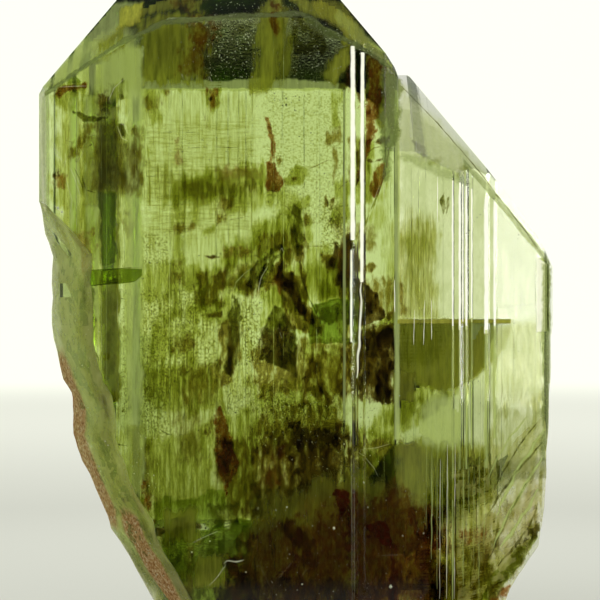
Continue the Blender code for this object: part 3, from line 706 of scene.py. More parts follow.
    ("olive", 5.2, 0.51, 0.9, (162, 308, 222, 302, 222, 320, 166, 322)),
    ("olive", 5.4, 0.68, 0.7, (172, 322, 194, 322, 196, 362, 172, 362)),
    ("brown", 4.2, 0.64, 0.55, (182, 366, 220, 364, 219, 408, 184, 406)),
    ("brown", 4.6, 0.13, 0.9, (204, 314, 216, 312, 222, 312, 222, 317, 208, 318)),
    ("brown", 5.0, 0.4, 0.8, (172, 336, 186, 334, 192, 344, 186, 352, 174, 350)),
    ("dark", 1.2, 0.33, 0.8, (92, 402, 106, 396, 114, 402, 114, 418, 100, 424, 92, 416)),
    ("etched", 1.4, 0.4, 0.9, (88, 396, 120, 386, 122, 446, 98, 450)),
    ("etched", 4.0, 0.3, 0.9, (142, 370, 182, 366, 182, 402, 144, 400)),
    ("etched", 6.6, 0.6, 0.8, (118, 290, 258, 290, 262, 520, 130, 520)),
    ("pitted", 4.6, 0.5, 0.9, (118, 376, 146, 370, 170, 400, 178, 440, 120, 440)),
    ("pitted", 5.4, 0.5, 0.8, (118, 286, 222, 284, 222, 372, 118, 420)),
    # Leafy flakes in the middle
    ("olive", 1.6, 0.2, 1.0, (366, 332, 378, 322, 390, 314, 395, 318, 394, 330, 382, 340, 366, 336)),
    ("olive", 2.2, 0.51, 1.0, (318, 284, 352, 280, 352, 304, 324, 304)),
    ("olive", 2.6, 0.34, 1.0, (290, 304, 300, 306, 320, 330, 310, 334, 298, 330, 292, 318)),
    ("olive", 2.9, 0.5, 0.8, (322, 256, 350, 252, 352, 300, 316, 300)),
    ("olive", 3.1, 0.3, 1.0, (262, 296, 276, 288, 290, 300, 290, 326, 262, 326)),
    ("olive", 3.4, 0.6, 0.8, (256, 262, 340, 262, 346, 300, 260, 300)),
    ("olive", 4.4, 0.68, 0.6, (302, 248, 334, 248, 334, 300, 306, 300)),
    ("olive", 4.7, 0.68, 0.7, (220, 284, 240, 282, 238, 316, 222, 320)),
    ("olive", 4.8, 0.85, 0.85, (296, 340, 344, 342, 344, 406, 300, 410)),
    ("brown", 1.5, 0.16, 0.9, (387, 314, 391, 311, 394, 315, 392, 320, 388, 319)),
    ("brown", 2.2, 0.16, 1.0, (277, 262, 281, 264, 281, 272, 292, 272, 294, 262, 296, 286, 312, 318,
                               318, 336, 311, 337, 302, 330, 290, 330, 282, 302, 276, 284)),
    ("brown", 2.3, 0.26, 1.0, (292, 296, 306, 300, 314, 312, 324, 326, 324, 336, 320, 336, 312, 326,
                               298, 312)),
    ("brown", 2.4, 0.29, 1.0, (282, 262, 288, 272, 298, 274, 303, 262, 303, 284, 308, 300, 302, 304,
                               290, 296, 283, 280)),
    ("brown", 2.4, 0.4, 0.7, (340, 312, 372, 306, 372, 346, 342, 350)),
    ("brown", 2.6, 0.4, 0.7, (352, 284, 400, 276, 408, 312, 384, 316, 356, 300)),
    ("brown", 2.7, 0.4, 1.0, (358, 336, 380, 334, 380, 396, 362, 384)),
    ("brown", 2.7, 0.25, 0.9, (220, 322, 232, 318, 232, 382, 222, 386)),
    ("brown", 2.8, 0.48, 0.6, (230, 330, 240, 326, 238, 356, 228, 372)),
    ("brown", 2.8, 0.4, 0.7, (336, 276, 356, 276, 356, 300, 338, 296)),
    ("brown", 2.8, 0.25, 0.9, (300, 392, 304, 376, 313, 360, 317, 360, 322, 376, 331, 402, 318, 402,
                               312, 380, 308, 404, 298, 406)),
    ("brown", 2.9, 0.19, 1.0, (352, 244, 358, 258, 364, 266, 372, 263, 377, 266, 370, 273, 360, 272,
                               352, 270)),
    ("brown", 3.0, 0.32, 0.9, (322, 256, 336, 254, 336, 270, 328, 272)),
    ("brown", 3.0, 0.5, 0.7, (300, 338, 350, 342, 350, 352, 300, 350)),
    ("brown", 3.1, 0.25, 0.8, (262, 292, 268, 276, 290, 246, 304, 240, 303, 262, 288, 262, 278, 276)),
    ("brown", 3.4, 0.48, 0.65, (258, 236, 292, 228, 304, 236, 302, 252, 282, 250, 260, 256)),
    ("brown", 3.4, 0.48, 0.8, (338, 352, 358, 350, 362, 392, 338, 398)),
    ("brown", 3.6, 0.6, 0.9, (252, 352, 300, 350, 350, 352, 352, 396, 256, 394)),
    ("umber", 1.9, 0.56, 0.6, (264, 330, 288, 320, 292, 350, 284, 366, 266, 354)),
    ("umber", 2.1, 0.5, 1.0, (354, 330, 392, 320, 395, 402, 358, 398)),
    ("umber", 2.1, 0.12, 0.9, (278, 264, 281, 272, 290, 280, 306, 312, 302, 316, 288, 296, 278, 282)),
    ("umber", 2.4, 0.2, 0.9, (376, 336, 394, 322, 395, 352, 391, 404, 382, 404, 376, 396, 380, 360)),
    ("umber", 2.6, 0.14, 1.0, (352, 276, 362, 282, 376, 292, 382, 306, 386, 318, 380, 320, 364, 326,
                               352, 324)),
    ("umber", 3.2, 0.22, 0.95, (334, 244, 340, 248, 346, 234, 352, 234, 354, 250, 354, 276, 348, 288,
                                336, 286, 330, 264)),
    ("rust", 2.5, 0.25, 0.7, (274, 276, 282, 268, 284, 288, 280, 294, 274, 288)),
    ("rust", 3.1, 0.28, 0.5, (336, 252, 352, 240, 352, 276, 340, 282)),
    ("green", 3.6, 0.39, 1.0, (312, 304, 350, 300, 350, 344, 310, 344)),
    ("dark", 2.0, 0.18, 1.0, (274, 306, 280, 308, 296, 328, 297, 378, 288, 370, 260, 360, 262, 330)),
    ("dark", 2.9, 0.23, 1.0, (233, 296, 239, 298, 240, 320, 240, 352, 232, 378, 225, 372, 226, 340)),
    ("dark", 3.0, 0.39, 0.7, (316, 304, 350, 302, 350, 322, 318, 322)),
    ("pitted", 3.4, 0.3, 1.0, (238, 298, 264, 300, 262, 362, 240, 372)),
    ("pitted", 4.6, 0.5, 0.6, (222, 370, 256, 372, 300, 384, 298, 412, 222, 420)),
    # Lower left
    ("olive", 1.2, 0.6, 0.7, (146, 528, 190, 528, 190, 610, 150, 610)),
    ("olive", 3.4, 0.85, 0.8, (96, 430, 142, 430, 146, 522, 128, 520, 108, 480)),
    ("olive", 3.4, 0.85, 0.9, (134, 440, 180, 430, 214, 420, 216, 500, 150, 520)),
    ("olive", 4.2, 0.85, 1.0, (222, 420, 256, 410, 256, 536, 226, 532)),
    ("haze", 1.5, 0.5, 0.8, (166, 510, 198, 510, 198, 542, 164, 542)),
    ("haze", 1.5, 0.5, 0.8, (196, 556, 222, 556, 222, 586, 196, 586)),
    ("haze", 2.0, 0.3, 0.35, (127, 426, 142, 426, 143, 494, 130, 494), 0.5),
    ("pale", 2.3, 0.3, 0.7, (127, 426, 142, 426, 143, 494, 130, 494), 0.5),
    ("brown", 2.0, 0.19, 0.9, (120, 494, 128, 498, 136, 495, 136, 498, 124, 501)),
    ("brown", 2.4, 0.19, 0.7, (204, 432, 212, 418, 216, 414, 214, 424, 208, 436)),
    ("brown", 3.0, 0.64, 0.5, (140, 450, 152, 446, 154, 500, 142, 496)),
    ("brown", 3.2, 0.64, 0.4, (176, 410, 200, 410, 200, 460, 178, 464)),
    ("umber", 2.3, 0.42, 0.8, (218, 436, 230, 436, 234, 462, 226, 484, 218, 460)),
    ("umber", 2.4, 0.17, 0.7, (156, 528, 172, 526, 200, 522, 200, 528, 176, 530, 158, 536)),
    ("rust", 1.6, 0.42, 0.5, (188, 540, 192, 540, 190, 606, 184, 606)),
    ("rust", 1.8, 0.42, 0.8, (144, 484, 148, 482, 152, 516, 154, 530, 146, 530)),
    ("rust", 2.2, 0.2, 1.0, (217, 410, 220, 404, 226, 416, 232, 440, 238, 462, 232, 482, 226, 494, 222, 482,
                             216, 462, 215, 430)),
    ("red", 0.6, 0.3, 0.7, (150, 544, 158, 552, 166, 576, 182, 606, 150, 606, 154, 586, 140, 566)),
    ("green", 5.2, 1.04, 0.7, (150, 500, 222, 492, 222, 530, 156, 530)),
    ("green", 5.6, 0.78, 1.0, (158, 530, 250, 520, 262, 606, 168, 606)),
    ("dark", 1.0, 0.6, 0.4, (140, 540, 176, 540, 186, 610, 150, 610)),
    ("dark", 2.0, 0.3, 0.6, (208, 506, 236, 504, 238, 524, 212, 526)),
    ("dark", 5.2, 0.91, 0.6, (150, 566, 196, 550, 222, 536, 262, 536, 262, 606, 160, 606)),
    # Lower middle
    ("olive", 3.2, 0.51, 0.9, (350, 424, 396, 436, 396, 500, 352, 500)),
    ("olive", 3.6, 0.85, 0.9, (254, 382, 300, 384, 342, 410, 342, 450, 254, 446)),
    ("olive", 4.0, 0.68, 0.9, (392, 446, 402, 446, 402, 530, 392, 530)),
    ("haze", 2.0, 0.8, 0.6, (256, 506, 350, 470, 440, 500, 440, 606, 250, 606)),
    ("brown", 1.9, 0.32, 0.8, (282, 514, 300, 530, 316, 540, 318, 566, 306, 578, 304, 556, 292, 540,
                               280, 524)),
    ("brown", 3.2, 0.8, 0.9, (352, 500, 400, 506, 430, 540, 436, 606, 352, 606)),
    ("brown", 3.2, 0.7, 0.7, (222, 440, 300, 440, 300, 512, 224, 512)),
    ("brown", 3.8, 0.8, 0.8, (256, 410, 342, 400, 346, 450, 258, 450)),
    ("brown", 4.0, 0.96, 0.9, (254, 446, 348, 440, 350, 606, 250, 606)),
    ("brown", 4.2, 0.8, 0.8, (350, 440, 396, 440, 398, 520, 352, 520)),
    ("umber", 0.8, 0.8, 0.5, (240, 578, 440, 578, 440, 612, 240, 612)),
    ("umber", 3.0, 0.7, 0.8, (292, 424, 344, 430, 346, 500, 300, 498, 290, 460)),
    ("umber", 4.4, 0.7, 1.0, (258, 522, 300, 526, 306, 560, 280, 594, 262, 590)),
    ("umber", 4.4, 0.7, 0.85, (336, 500, 366, 500, 362, 606, 334, 606)),
    ("umber", 4.6, 0.7, 0.8, (222, 560, 262, 552, 262, 606, 218, 606)),
    ("umber", 5.0, 0.84, 0.9, (316, 520, 350, 516, 350, 606, 318, 606)),
    ("umber", 5.6, 0.98, 0.7, (254, 552, 350, 556, 350, 606, 250, 606)),
    ("rust", 0.9, 0.8, 0.6, (352, 506, 400, 486, 440, 516, 444, 606, 352, 606)),
    ("rust", 1.0, 0.8, 0.55, (296, 524, 350, 500, 352, 606, 290, 606)),
    ("rust", 1.3, 0.7, 0.45, (232, 540, 296, 520, 300, 606, 226, 606)),
    ("rust", 1.6, 0.22, 0.9, (390, 544, 396, 548, 400, 606, 390, 606)),
    ("rust", 1.8, 0.28, 0.8, (386, 486, 402, 474, 404, 486, 396, 500, 388, 502)),
    ("rust", 2.0, 0.22, 0.9, (306, 548, 312, 554, 296, 566, 276, 588, 266, 592, 272, 580, 290, 562)),
    ("rust", 2.2, 0.63, 0.6, (298, 500, 350, 488, 350, 540, 330, 580, 316, 580, 312, 530)),
    ("rust", 2.4, 0.56, 0.6, (264, 486, 256, 490, 272, 462, 280, 448, 282, 466, 276, 484)),
    ("rust", 2.8, 0.42, 0.7, (258, 540, 264, 522, 280, 514, 282, 520, 268, 532, 264, 556, 274, 588,
                              266, 588)),
    ("rust", 3.0, 0.7, 0.6, (356, 520, 400, 516, 400, 606, 352, 606)),
    ("red", 1.4, 0.18, 1.0, (364, 526, 378, 520, 388, 524, 392, 540, 394, 552, 382, 544, 372, 536)),
    ("red", 1.8, 0.3, 0.8, (334, 488, 350, 490, 350, 520, 338, 520)),
    ("red", 1.9, 0.3, 0.7, (350, 508, 364, 518, 376, 528, 372, 540, 362, 532)),
    ("red", 2.0, 0.2, 0.8, (298, 510, 304, 506, 312, 512, 306, 520, 298, 518)),
    ("green", 5.6, 0.9, 0.5, (352, 456, 392, 456, 390, 506, 352, 506)),
    ("dark", 3.4, 0.65, 0.6, (254, 490, 296, 486, 294, 520, 254, 520)),
    ("pitted", 1.6, 0.5, 1.0, (256, 392, 340, 392, 342, 446, 256, 446)),
    # Thin crystal at the right, and the dark end of the rear one seen through it
    ("olive", 1.3, 0.31, 0.6, (414, 120, 422, 122, 425, 148, 416, 146)),
    ("olive", 1.3, 0.17, 0.6, (424, 162, 434, 160, 442, 156, 440, 164, 430, 166)),
    ("olive", 1.4, 0.27, 1.0, (457, 172, 464, 160, 468, 158, 472, 162, 464, 172, 461, 177)),
    ("olive", 1.6, 0.68, 0.4, (400, 330, 444, 330, 444, 360, 400, 366)),
    ("olive", 1.8, 0.3, 0.8, (366, 434, 382, 412, 400, 402, 440, 394, 456, 384, 452, 396, 438, 410,
                              412, 426, 386, 440)),
    ("olive", 2.4, 0.42, 1.0, (382, 400, 404, 388, 440, 374, 444, 384, 426, 400, 404, 422, 384, 428)),
    ("olive", 2.6, 0.51, 0.6, (404, 240, 424, 232, 432, 262, 410, 282)),
    ("olive", 2.8, 0.68, 0.45, (386, 232, 432, 216, 438, 320, 388, 322)),
    ("olive", 3.3, 0.3, 0.7, (414, 412, 440, 394, 462, 382, 456, 396, 440, 410, 424, 420)),
    ("olive", 3.5, 0.25, 0.7, (438, 321, 512, 321, 508, 338, 492, 364, 470, 382, 438, 393), 0.3),
    ("haze", 0.9, 0.25, 0.8, (394, 372, 416, 372, 414, 400, 394, 402)),
    ("haze", 1.6, 0.32, 0.9, (398, 322, 444, 320, 512, 320, 510, 336, 492, 364, 470, 382, 444, 392,
                              398, 380), 0.2),
    ("haze", 3.2, 0.3, 0.8, (438, 321, 500, 321, 484, 362, 466, 376, 438, 388), 0.3),
    ("pale", 0.8, 0.4, 0.8, (428, 396, 500, 392, 498, 446, 440, 452, 420, 440)),
    ("pale", 2.6, 0.3, 0.4, (400, 324, 512, 324, 508, 338, 492, 364, 466, 384, 400, 384)),
    ("dark", 1.0, 0.09, 0.8, (440, 200, 444, 192, 446, 208, 443, 216)),
    ("dark", 1.0, 0.09, 0.8, (447, 198, 449, 196, 449, 208, 446, 216)),
    ("dark", 1.2, 0.18, 0.8, (409, 98, 414, 104, 421, 122, 424, 150, 424, 157, 418, 153, 413, 140,
                              412, 118)),
    ("etched", 1.2, 0.6, 0.4, (400, 200, 440, 210, 440, 320, 400, 320)),
    ("etched", 2.0, 0.5, 0.6, (382, 220, 440, 212, 440, 324, 384, 326)),
    ("veil", 3.0, 0.5, 0.8, (400, 92, 470, 160, 552, 270, 552, 440, 500, 500, 400, 460)),
    # Broken lower right
    ("olive", 1.6, 0.85, 0.55, (486, 446, 524, 430, 500, 480, 486, 500)),
    ("olive", 2.2, 0.68, 0.9, (430, 446, 480, 446, 486, 470, 478, 512, 440, 520, 430, 500)),
    ("olive", 2.4, 0.85, 0.9, (436, 550, 500, 560, 500, 606, 430, 606)),
    ("haze", 1.4, 0.4, 1.0, (398, 446, 430, 440, 458, 446, 458, 504, 398, 510)),
    ("pale", 1.1, 0.4, 0.12, (398, 440, 430, 434, 458, 440, 458, 504, 398, 510)),
    ("brown", 2.0, 0.26, 0.8, (404, 446, 416, 443, 424, 452, 428, 470, 428, 506, 420, 470, 408, 470,
                               402, 478)),
    ("brown", 2.6, 0.8, 0.8, (400, 540, 440, 556, 476, 606, 400, 606)),
    ("rust", 1.4, 0.28, 0.45, (462, 532, 486, 530, 486, 544, 464, 546)),
    ("rust", 1.8, 0.28, 0.7, (402, 450, 410, 446, 408, 466, 404, 480, 400, 476)),
    ("rust", 1.9, 0.2, 1.0, (406, 506, 414, 506, 418, 528, 424, 534, 428, 508, 436, 522, 442, 540, 438, 552,
                             430, 548, 424, 556, 416, 540)),
    ("rust", 2.0, 0.42, 0.9, (418, 548, 430, 550, 432, 606, 420, 606)),
    ("rust", 2.4, 0.56, 0.5, (428, 500, 444, 502, 452, 552, 436, 556)),
    ("dark", 3.0, 0.33, 0.7, (412, 510, 424, 508, 424, 540, 416, 532)),
    ("veil", 1.4, 0.5, 0.6, (480, 440, 552, 400, 552, 560, 500, 606, 440, 606)),
]

# The same on the front, from the lowest to the topmost: kind, softness, strength, outline
FRONT_FILMS = [
    # Pale and olive layers on the slopes of the chisel top; the pale ones glow with painted light
    ("pale", 0.25, 0.6, (96, 10, 106, -2, 142, -2, 138, 14, 120, 24, 96, 44, 60, 84, 46, 86, 70, 50)),
    ("haze", 0.25, 0.9, (118, 4, 142, -2, 142, 22, 116, 26)),
    ("pale", 0.25, 0.5, (338, 8, 352, 18, 382, 48, 396, 66, 386, 66, 350, 36, 334, 16)),
    ("haze", 0.25, 0.3, (304, -2, 344, -2, 362, 28, 384, 56, 350, 38, 322, 16)),
    # Thin strips beside the growth steps and along the two sides, glowing as painted highlights
    ("pale", 0.07, 0.85, (395, 96, 400, 96, 400, 440, 395, 440), 0.3),
    ("pale", 0.04, 0.6, (343.2, 90, 345.4, 90, 345.4, 420, 343.2, 420), 0.3),
    ("bright", 0.12, 0.5, (38, 92, 46, 90, 47, 208, 41, 210), 0.4),
    ("pale", 0.12, 0.7, (542, 258, 549, 258, 549, 332, 542, 332), 0.4),
    # Thin crystal on the right
    ("etched", 0.6, 0.15, (500, 322, 550, 318, 550, 410, 496, 410)),
    ("veil", 0.6, 0.5, (496, 326, 550, 316, 550, 412, 490, 412)),
    ("frost", 0.1, 0.45, (464, 156, 500, 194, 552, 256, 556, 264, 552, 268, 540, 251, 498, 201, 466, 166)),
    # Stained and folded skin of the broken lower right
    ("brown", 0.6, 0.4, (480, 520, 520, 500, 546, 480, 546, 530, 520, 570, 500, 600, 470, 606)),
    ("dark", 0.3, 0.9, (512, 584, 524, 566, 540, 544, 546, 528, 540, 526, 526, 548, 508, 572, 498, 592)),
    ("olive", 0.7, 0.35, (436, 450, 480, 446, 512, 420, 546, 396, 548, 480, 538, 530, 516, 576, 500, 606,
                          430, 606)),
    ("olive", 0.5, 0.85, (430, 490, 486, 470, 500, 520, 492, 606, 430, 606)),
    ("haze", 0.4, 0.3, (452, 450, 506, 446, 500, 500, 456, 508)),
    # Right edge and top of the thin crystal, with painted highlights that glow by emission
    ("gleam", 0.06, 0.75, (540, 256, 551, 264, 551, 332, 540, 332), 0.3),
    ("frost", 0.06, 0.8, (548.5, 258, 554, 266, 554, 332, 548.5, 332), 0.3),
    ("bright", 0.5, 0.4, (401, 82, 438, 122, 464, 156, 462, 174, 430, 160, 401, 152)),
    ("pale", 0.6, 0.2, (399, 78, 404, 78, 440, 120, 468, 157, 470, 180, 430, 164, 399, 156)),
    ("haze", 0.05, 0.9, (398, 319.5, 513, 319.5, 513, 323.5, 398, 323.5), 0.3),
    # Folds of the broken lower right
    ("brown", 0.6, 0.45, (440, 540, 496, 540, 506, 606, 436, 606)),
    ("olive", 0.3, 0.25, (549, 398, 536, 420, 516, 446, 494, 474, 478, 500, 470, 520, 477, 524, 488, 504,
                          504, 480, 524, 456, 541, 430, 549, 412)),
    ("olive", 0.3, 0.35, (549, 424, 540, 448, 526, 476, 508, 508, 494, 540, 486, 566, 493, 569, 503, 544,
                          518, 514, 536, 482, 547, 450)),
    ("olive", 0.3, 0.4, (547, 466, 543, 492, 534, 520, 520, 546, 505, 568, 513, 573, 529, 552, 541, 526,
                         546, 500)),
    ("olive", 0.25, 0.3, (508, 404, 488, 436, 472, 470, 462, 500, 469, 502, 480, 474, 496, 442, 512, 412)),
    ("green", 0.4, 0.5, (505, 566, 530, 546, 542, 540, 538, 552, 522, 566, 512, 584, 500, 606, 478, 606,
                         490, 584)),
    ("rust", 0.3, 0.7, (500, 606, 522, 588, 508, 590, 488, 606)),
    ("rust", 0.3, 0.5, (462, 532, 488, 530, 488, 546, 464, 548)),
    # Worn edges
    ("frost", 0.14, 0.9, (44, 93, 96, 56, 122, 39, 163, 20, 226, 14, 302, 10, 326, 27, 356, 42, 400, 70,
                          400, 74, 354, 46, 324, 33, 300, 16, 226, 19, 164, 25, 122, 44, 96, 61, 45, 97)),
    ("frost", 0.3, 0.6, (306, 12, 322, 26, 346, 36, 340, 40, 318, 34, 304, 24)),
    ("frost", 0.35, 0.9, (382, 64, 402, 74, 402, 112, 396, 140, 386, 178, 380, 140, 384, 100)),
    ("frost", 0.15, 0.25, (41, 96, 49, 92, 49, 210, 44, 214)),
    ("frost", 0.5, 0.45, (46, 232, 72, 250, 88, 300, 92, 360, 100, 410, 120, 470, 150, 540, 150, 600,
                          120, 560, 92, 486, 74, 410, 56, 340, 53, 270)),
    ("frost", 0.3, 0.3, (398, 152, 430, 156, 446, 168, 474, 182, 470, 188, 440, 176, 416, 164, 398, 158)),
    ("frost", 0.2, 0.6, (546, 262, 556, 268, 556, 452, 546, 470)),
]

# Thin streaks and cracks inside, by kind: depth, width, strength and one or more courses
STREAKS = {
    "bright": [
        (0.4, 0.04, 0.54, (62, 164, 66, 160, 64, 168)),
        (0.4, 0.05, 0.54, (53, 152, 62, 160)),
        (0.4, 0.05, 0.6, (50, 140, 56, 146), (51, 146, 60, 154)),
        (0.4, 0.08, 0.6, (54, 206, 62, 212)),
        (0.5, 0.04, 0.6, (60, 87, 74, 86, 86, 86)),
        (0.6, 0.04, 0.24, (351, 400, 350, 450)),
        (0.6, 0.04, 0.27, (351, 456, 352, 520, 352, 604)),
        (0.6, 0.04, 0.36, (66, 180, 72, 200, 70, 214)),
        (0.6, 0.04, 0.42, (74, 172, 82, 188)),
        (0.6, 0.05, 0.42, (109, 100, 114, 88, 124, 79)),
        (0.6, 0.05, 0.48, (70, 168, 76, 182, 80, 196)),
        (0.7, 0.03, 0.48, (128, 118, 130, 110)),
        (0.7, 0.04, 0.54, (117, 126, 122, 138, 128, 141), (120, 123, 126, 126, 128, 134)),
        (0.8, 0.03, 0.48, (182, 78, 182, 74, 184, 80)),
        (0.8, 0.03, 0.54, (186, 80, 187, 74, 188, 80), (191, 80, 192, 75, 193, 80),
         (196, 80, 197, 75, 198, 80), (208, 80, 209, 76, 212, 82)),
        (0.9, 0.03, 0.42, (104, 392, 112, 402, 116, 416), (88, 410, 104, 408, 118, 402)),
        (0.9, 0.03, 0.48, (88, 402, 100, 412, 112, 424)),
        (1.0, 0.02, 0.3, (376, 556, 408, 555)),
        (1.0, 0.03, 0.36, (84, 150, 78, 162)),
        (1.0, 0.03, 0.6, (193, 543, 202, 538, 218, 531)),
        (1.2, 0.06, 0.42, (226, 564, 218, 576, 209, 586)),
        (1.2, 0.1, 0.6, (224, 564, 228, 561, 236, 562, 244, 560)),
        (1.4, 0.03, 0.36, (352, 448, 364, 456, 374, 468, 378, 476), (360, 450, 376, 448, 390, 444)),
        (1.5, 0.03, 0.36, (388, 156, 382, 180, 374, 200, 362, 226)),
        (1.6, 0.03, 0.3, (260, 566, 266, 578, 272, 590)),
        (1.6, 0.03, 0.42, (168, 560, 172, 576)),
        (1.6, 0.04, 0.36, (430, 506, 436, 520, 442, 536)),
        (1.6, 0.04, 0.48, (418, 444, 426, 456)),
        (1.8, 0.03, 0.36, (296, 558, 282, 574, 270, 590), (300, 580, 306, 570, 311, 568)),
        (1.8, 0.05, 0.42, (280, 332, 282, 338)),
        (1.9, 0.06, 0.48, (278, 328, 284, 334, 290, 333)),
        (2.0, 0.03, 0.3, (296, 330, 298, 346, 297, 372)),
        (2.0, 0.05, 0.36, (98, 288, 98, 372)),
        (2.0, 0.06, 0.42, (117, 288, 118, 330, 118, 366)),
        (2.4, 0.03, 0.3, (117, 196, 117, 262)),
        (2.4, 0.03, 0.42, (362, 330, 374, 324, 384, 320)),
        (2.4, 0.05, 0.54, (280, 250, 282, 248, 284, 252)),
        (2.6, 0.03, 0.42, (234, 290, 236, 282, 244, 274, 252, 268)),
        (2.6, 0.03, 0.48, (284, 260, 280, 272, 276, 282)),
        (2.6, 0.04, 0.54, (268, 266, 262, 276, 259, 286, 258, 296)),
        (2.6, 0.05, 0.6, (365, 333, 369, 329)),
        (4.0, 0.03, 0.42, (267, 162, 266, 176, 269, 190)),
        (4.2, 0.03, 0.48, (184, 82, 184, 92)),
    ],
    "dark": [
        (0.5, 0.05, 0.7, (112, 270, 124, 268, 142, 268)),
        (0.5, 0.06, 0.9, (108, 283, 122, 282), (128, 283, 137, 280)),
        (0.5, 0.06, 1.0, (82, 287, 104, 284)),
        (0.6, 0.05, 0.8, (66, 140, 72, 142)),
        (0.6, 0.06, 0.9, (86, 148, 94, 143)),
        (0.6, 0.07, 0.8, (72, 230, 76, 252, 82, 270)),
        (0.6, 0.1, 0.8, (92, 346, 98, 358, 98, 372, 94, 378)),
        (0.7, 0.06, 0.7, (82, 176, 86, 190, 96, 193)),
        (0.8, 0.04, 0.6, (391, 176, 391, 220)),
        (0.8, 0.05, 0.7, (74, 168, 80, 180, 84, 190)),
        (0.8, 0.05, 0.9, (398, 164, 398, 190, 396, 214)),
        (1.0, 0.05, 0.7, (396, 220, 396, 300)),
        (1.1, 0.07, 0.9, (98, 424, 106, 410, 116, 398)),
        (2.2, 0.07, 0.9, (302, 246, 300, 262, 302, 278, 308, 296, 318, 316, 324, 334)),
        (3.0, 0.05, 0.7, (198, 440, 206, 430)),
        (3.8, 0.06, 0.8, (160, 430, 172, 436)),
        (3.8, 0.08, 0.6, (96, 430, 116, 444, 132, 446)),
        (5.4, 0.035, 0.6, (144, 168, 158, 168)),
        (5.4, 0.035, 0.7, (144, 176, 160, 176)),
        (5.4, 0.04, 0.7, (184, 132, 196, 133), (190, 148, 202, 147)),
        (5.4, 0.04, 0.8, (163, 132, 182, 132), (214, 147, 240, 148)),
    ],
    "umber": [
        (1.4, 0.05, 0.9, (378, 452, 384, 448)),
        (1.6, 0.06, 0.9, (352, 198, 356, 184, 364, 166)),
        (1.7, 0.07, 1.0, (404, 444, 414, 442, 422, 450, 427, 462, 428, 484, 427, 506)),
        (1.9, 0.08, 0.9, (406, 506, 412, 512, 417, 528, 423, 536)),
        (2.2, 0.1, 0.9, (316, 372, 318, 384, 324, 394, 330, 402)),
        (3.0, 0.07, 0.9, (335, 240, 340, 246, 344, 242)),
        (3.6, 0.08, 0.9, (278, 218, 282, 214)),
        (4.4, 0.06, 0.9, (217, 274, 219, 282)),
        (5.2, 0.05, 0.9, (170, 151, 176, 152)),
        (5.2, 0.06, 0.9, (227, 148, 231, 148)),
    ],
    "brown": [
        (1.5, 0.06, 0.9, (354, 450, 366, 460, 374, 470)),
        (1.6, 0.1, 0.9, (390, 148, 382, 182, 374, 204, 364, 224, 354, 240)),
        (1.8, 0.06, 0.9, (366, 154, 374, 148, 382, 146)),
        (2.2, 0.06, 0.8, (284, 204, 292, 212, 300, 220)),
        (2.3, 0.08, 0.8, (300, 380, 310, 374, 318, 364)),
        (3.2, 0.07, 0.8, (266, 196, 270, 194, 276, 196)),
        (3.6, 0.05, 0.8, (338, 190, 346, 182, 356, 178)),
        (3.9, 0.07, 0.8, (284, 178, 276, 190)),
        (4.2, 0.04, 0.8, (228, 220, 240, 218, 250, 216)),
        (4.6, 0.05, 0.7, (296, 245, 310, 246, 328, 246)),
        (4.6, 0.05, 0.8, (276, 162, 277, 156, 284, 156)),
        (4.6, 0.05, 0.9, (308, 169, 316, 166, 328, 160)),
    ],
}

def upright(kind, *bevels):
    """Straight bevels up the crystal, each by its place across, top, foot, width and strength."""
    return [(kind, width, strength, (x, top, x, foot), 0.3) for x, top, foot, width, strength in bevels]


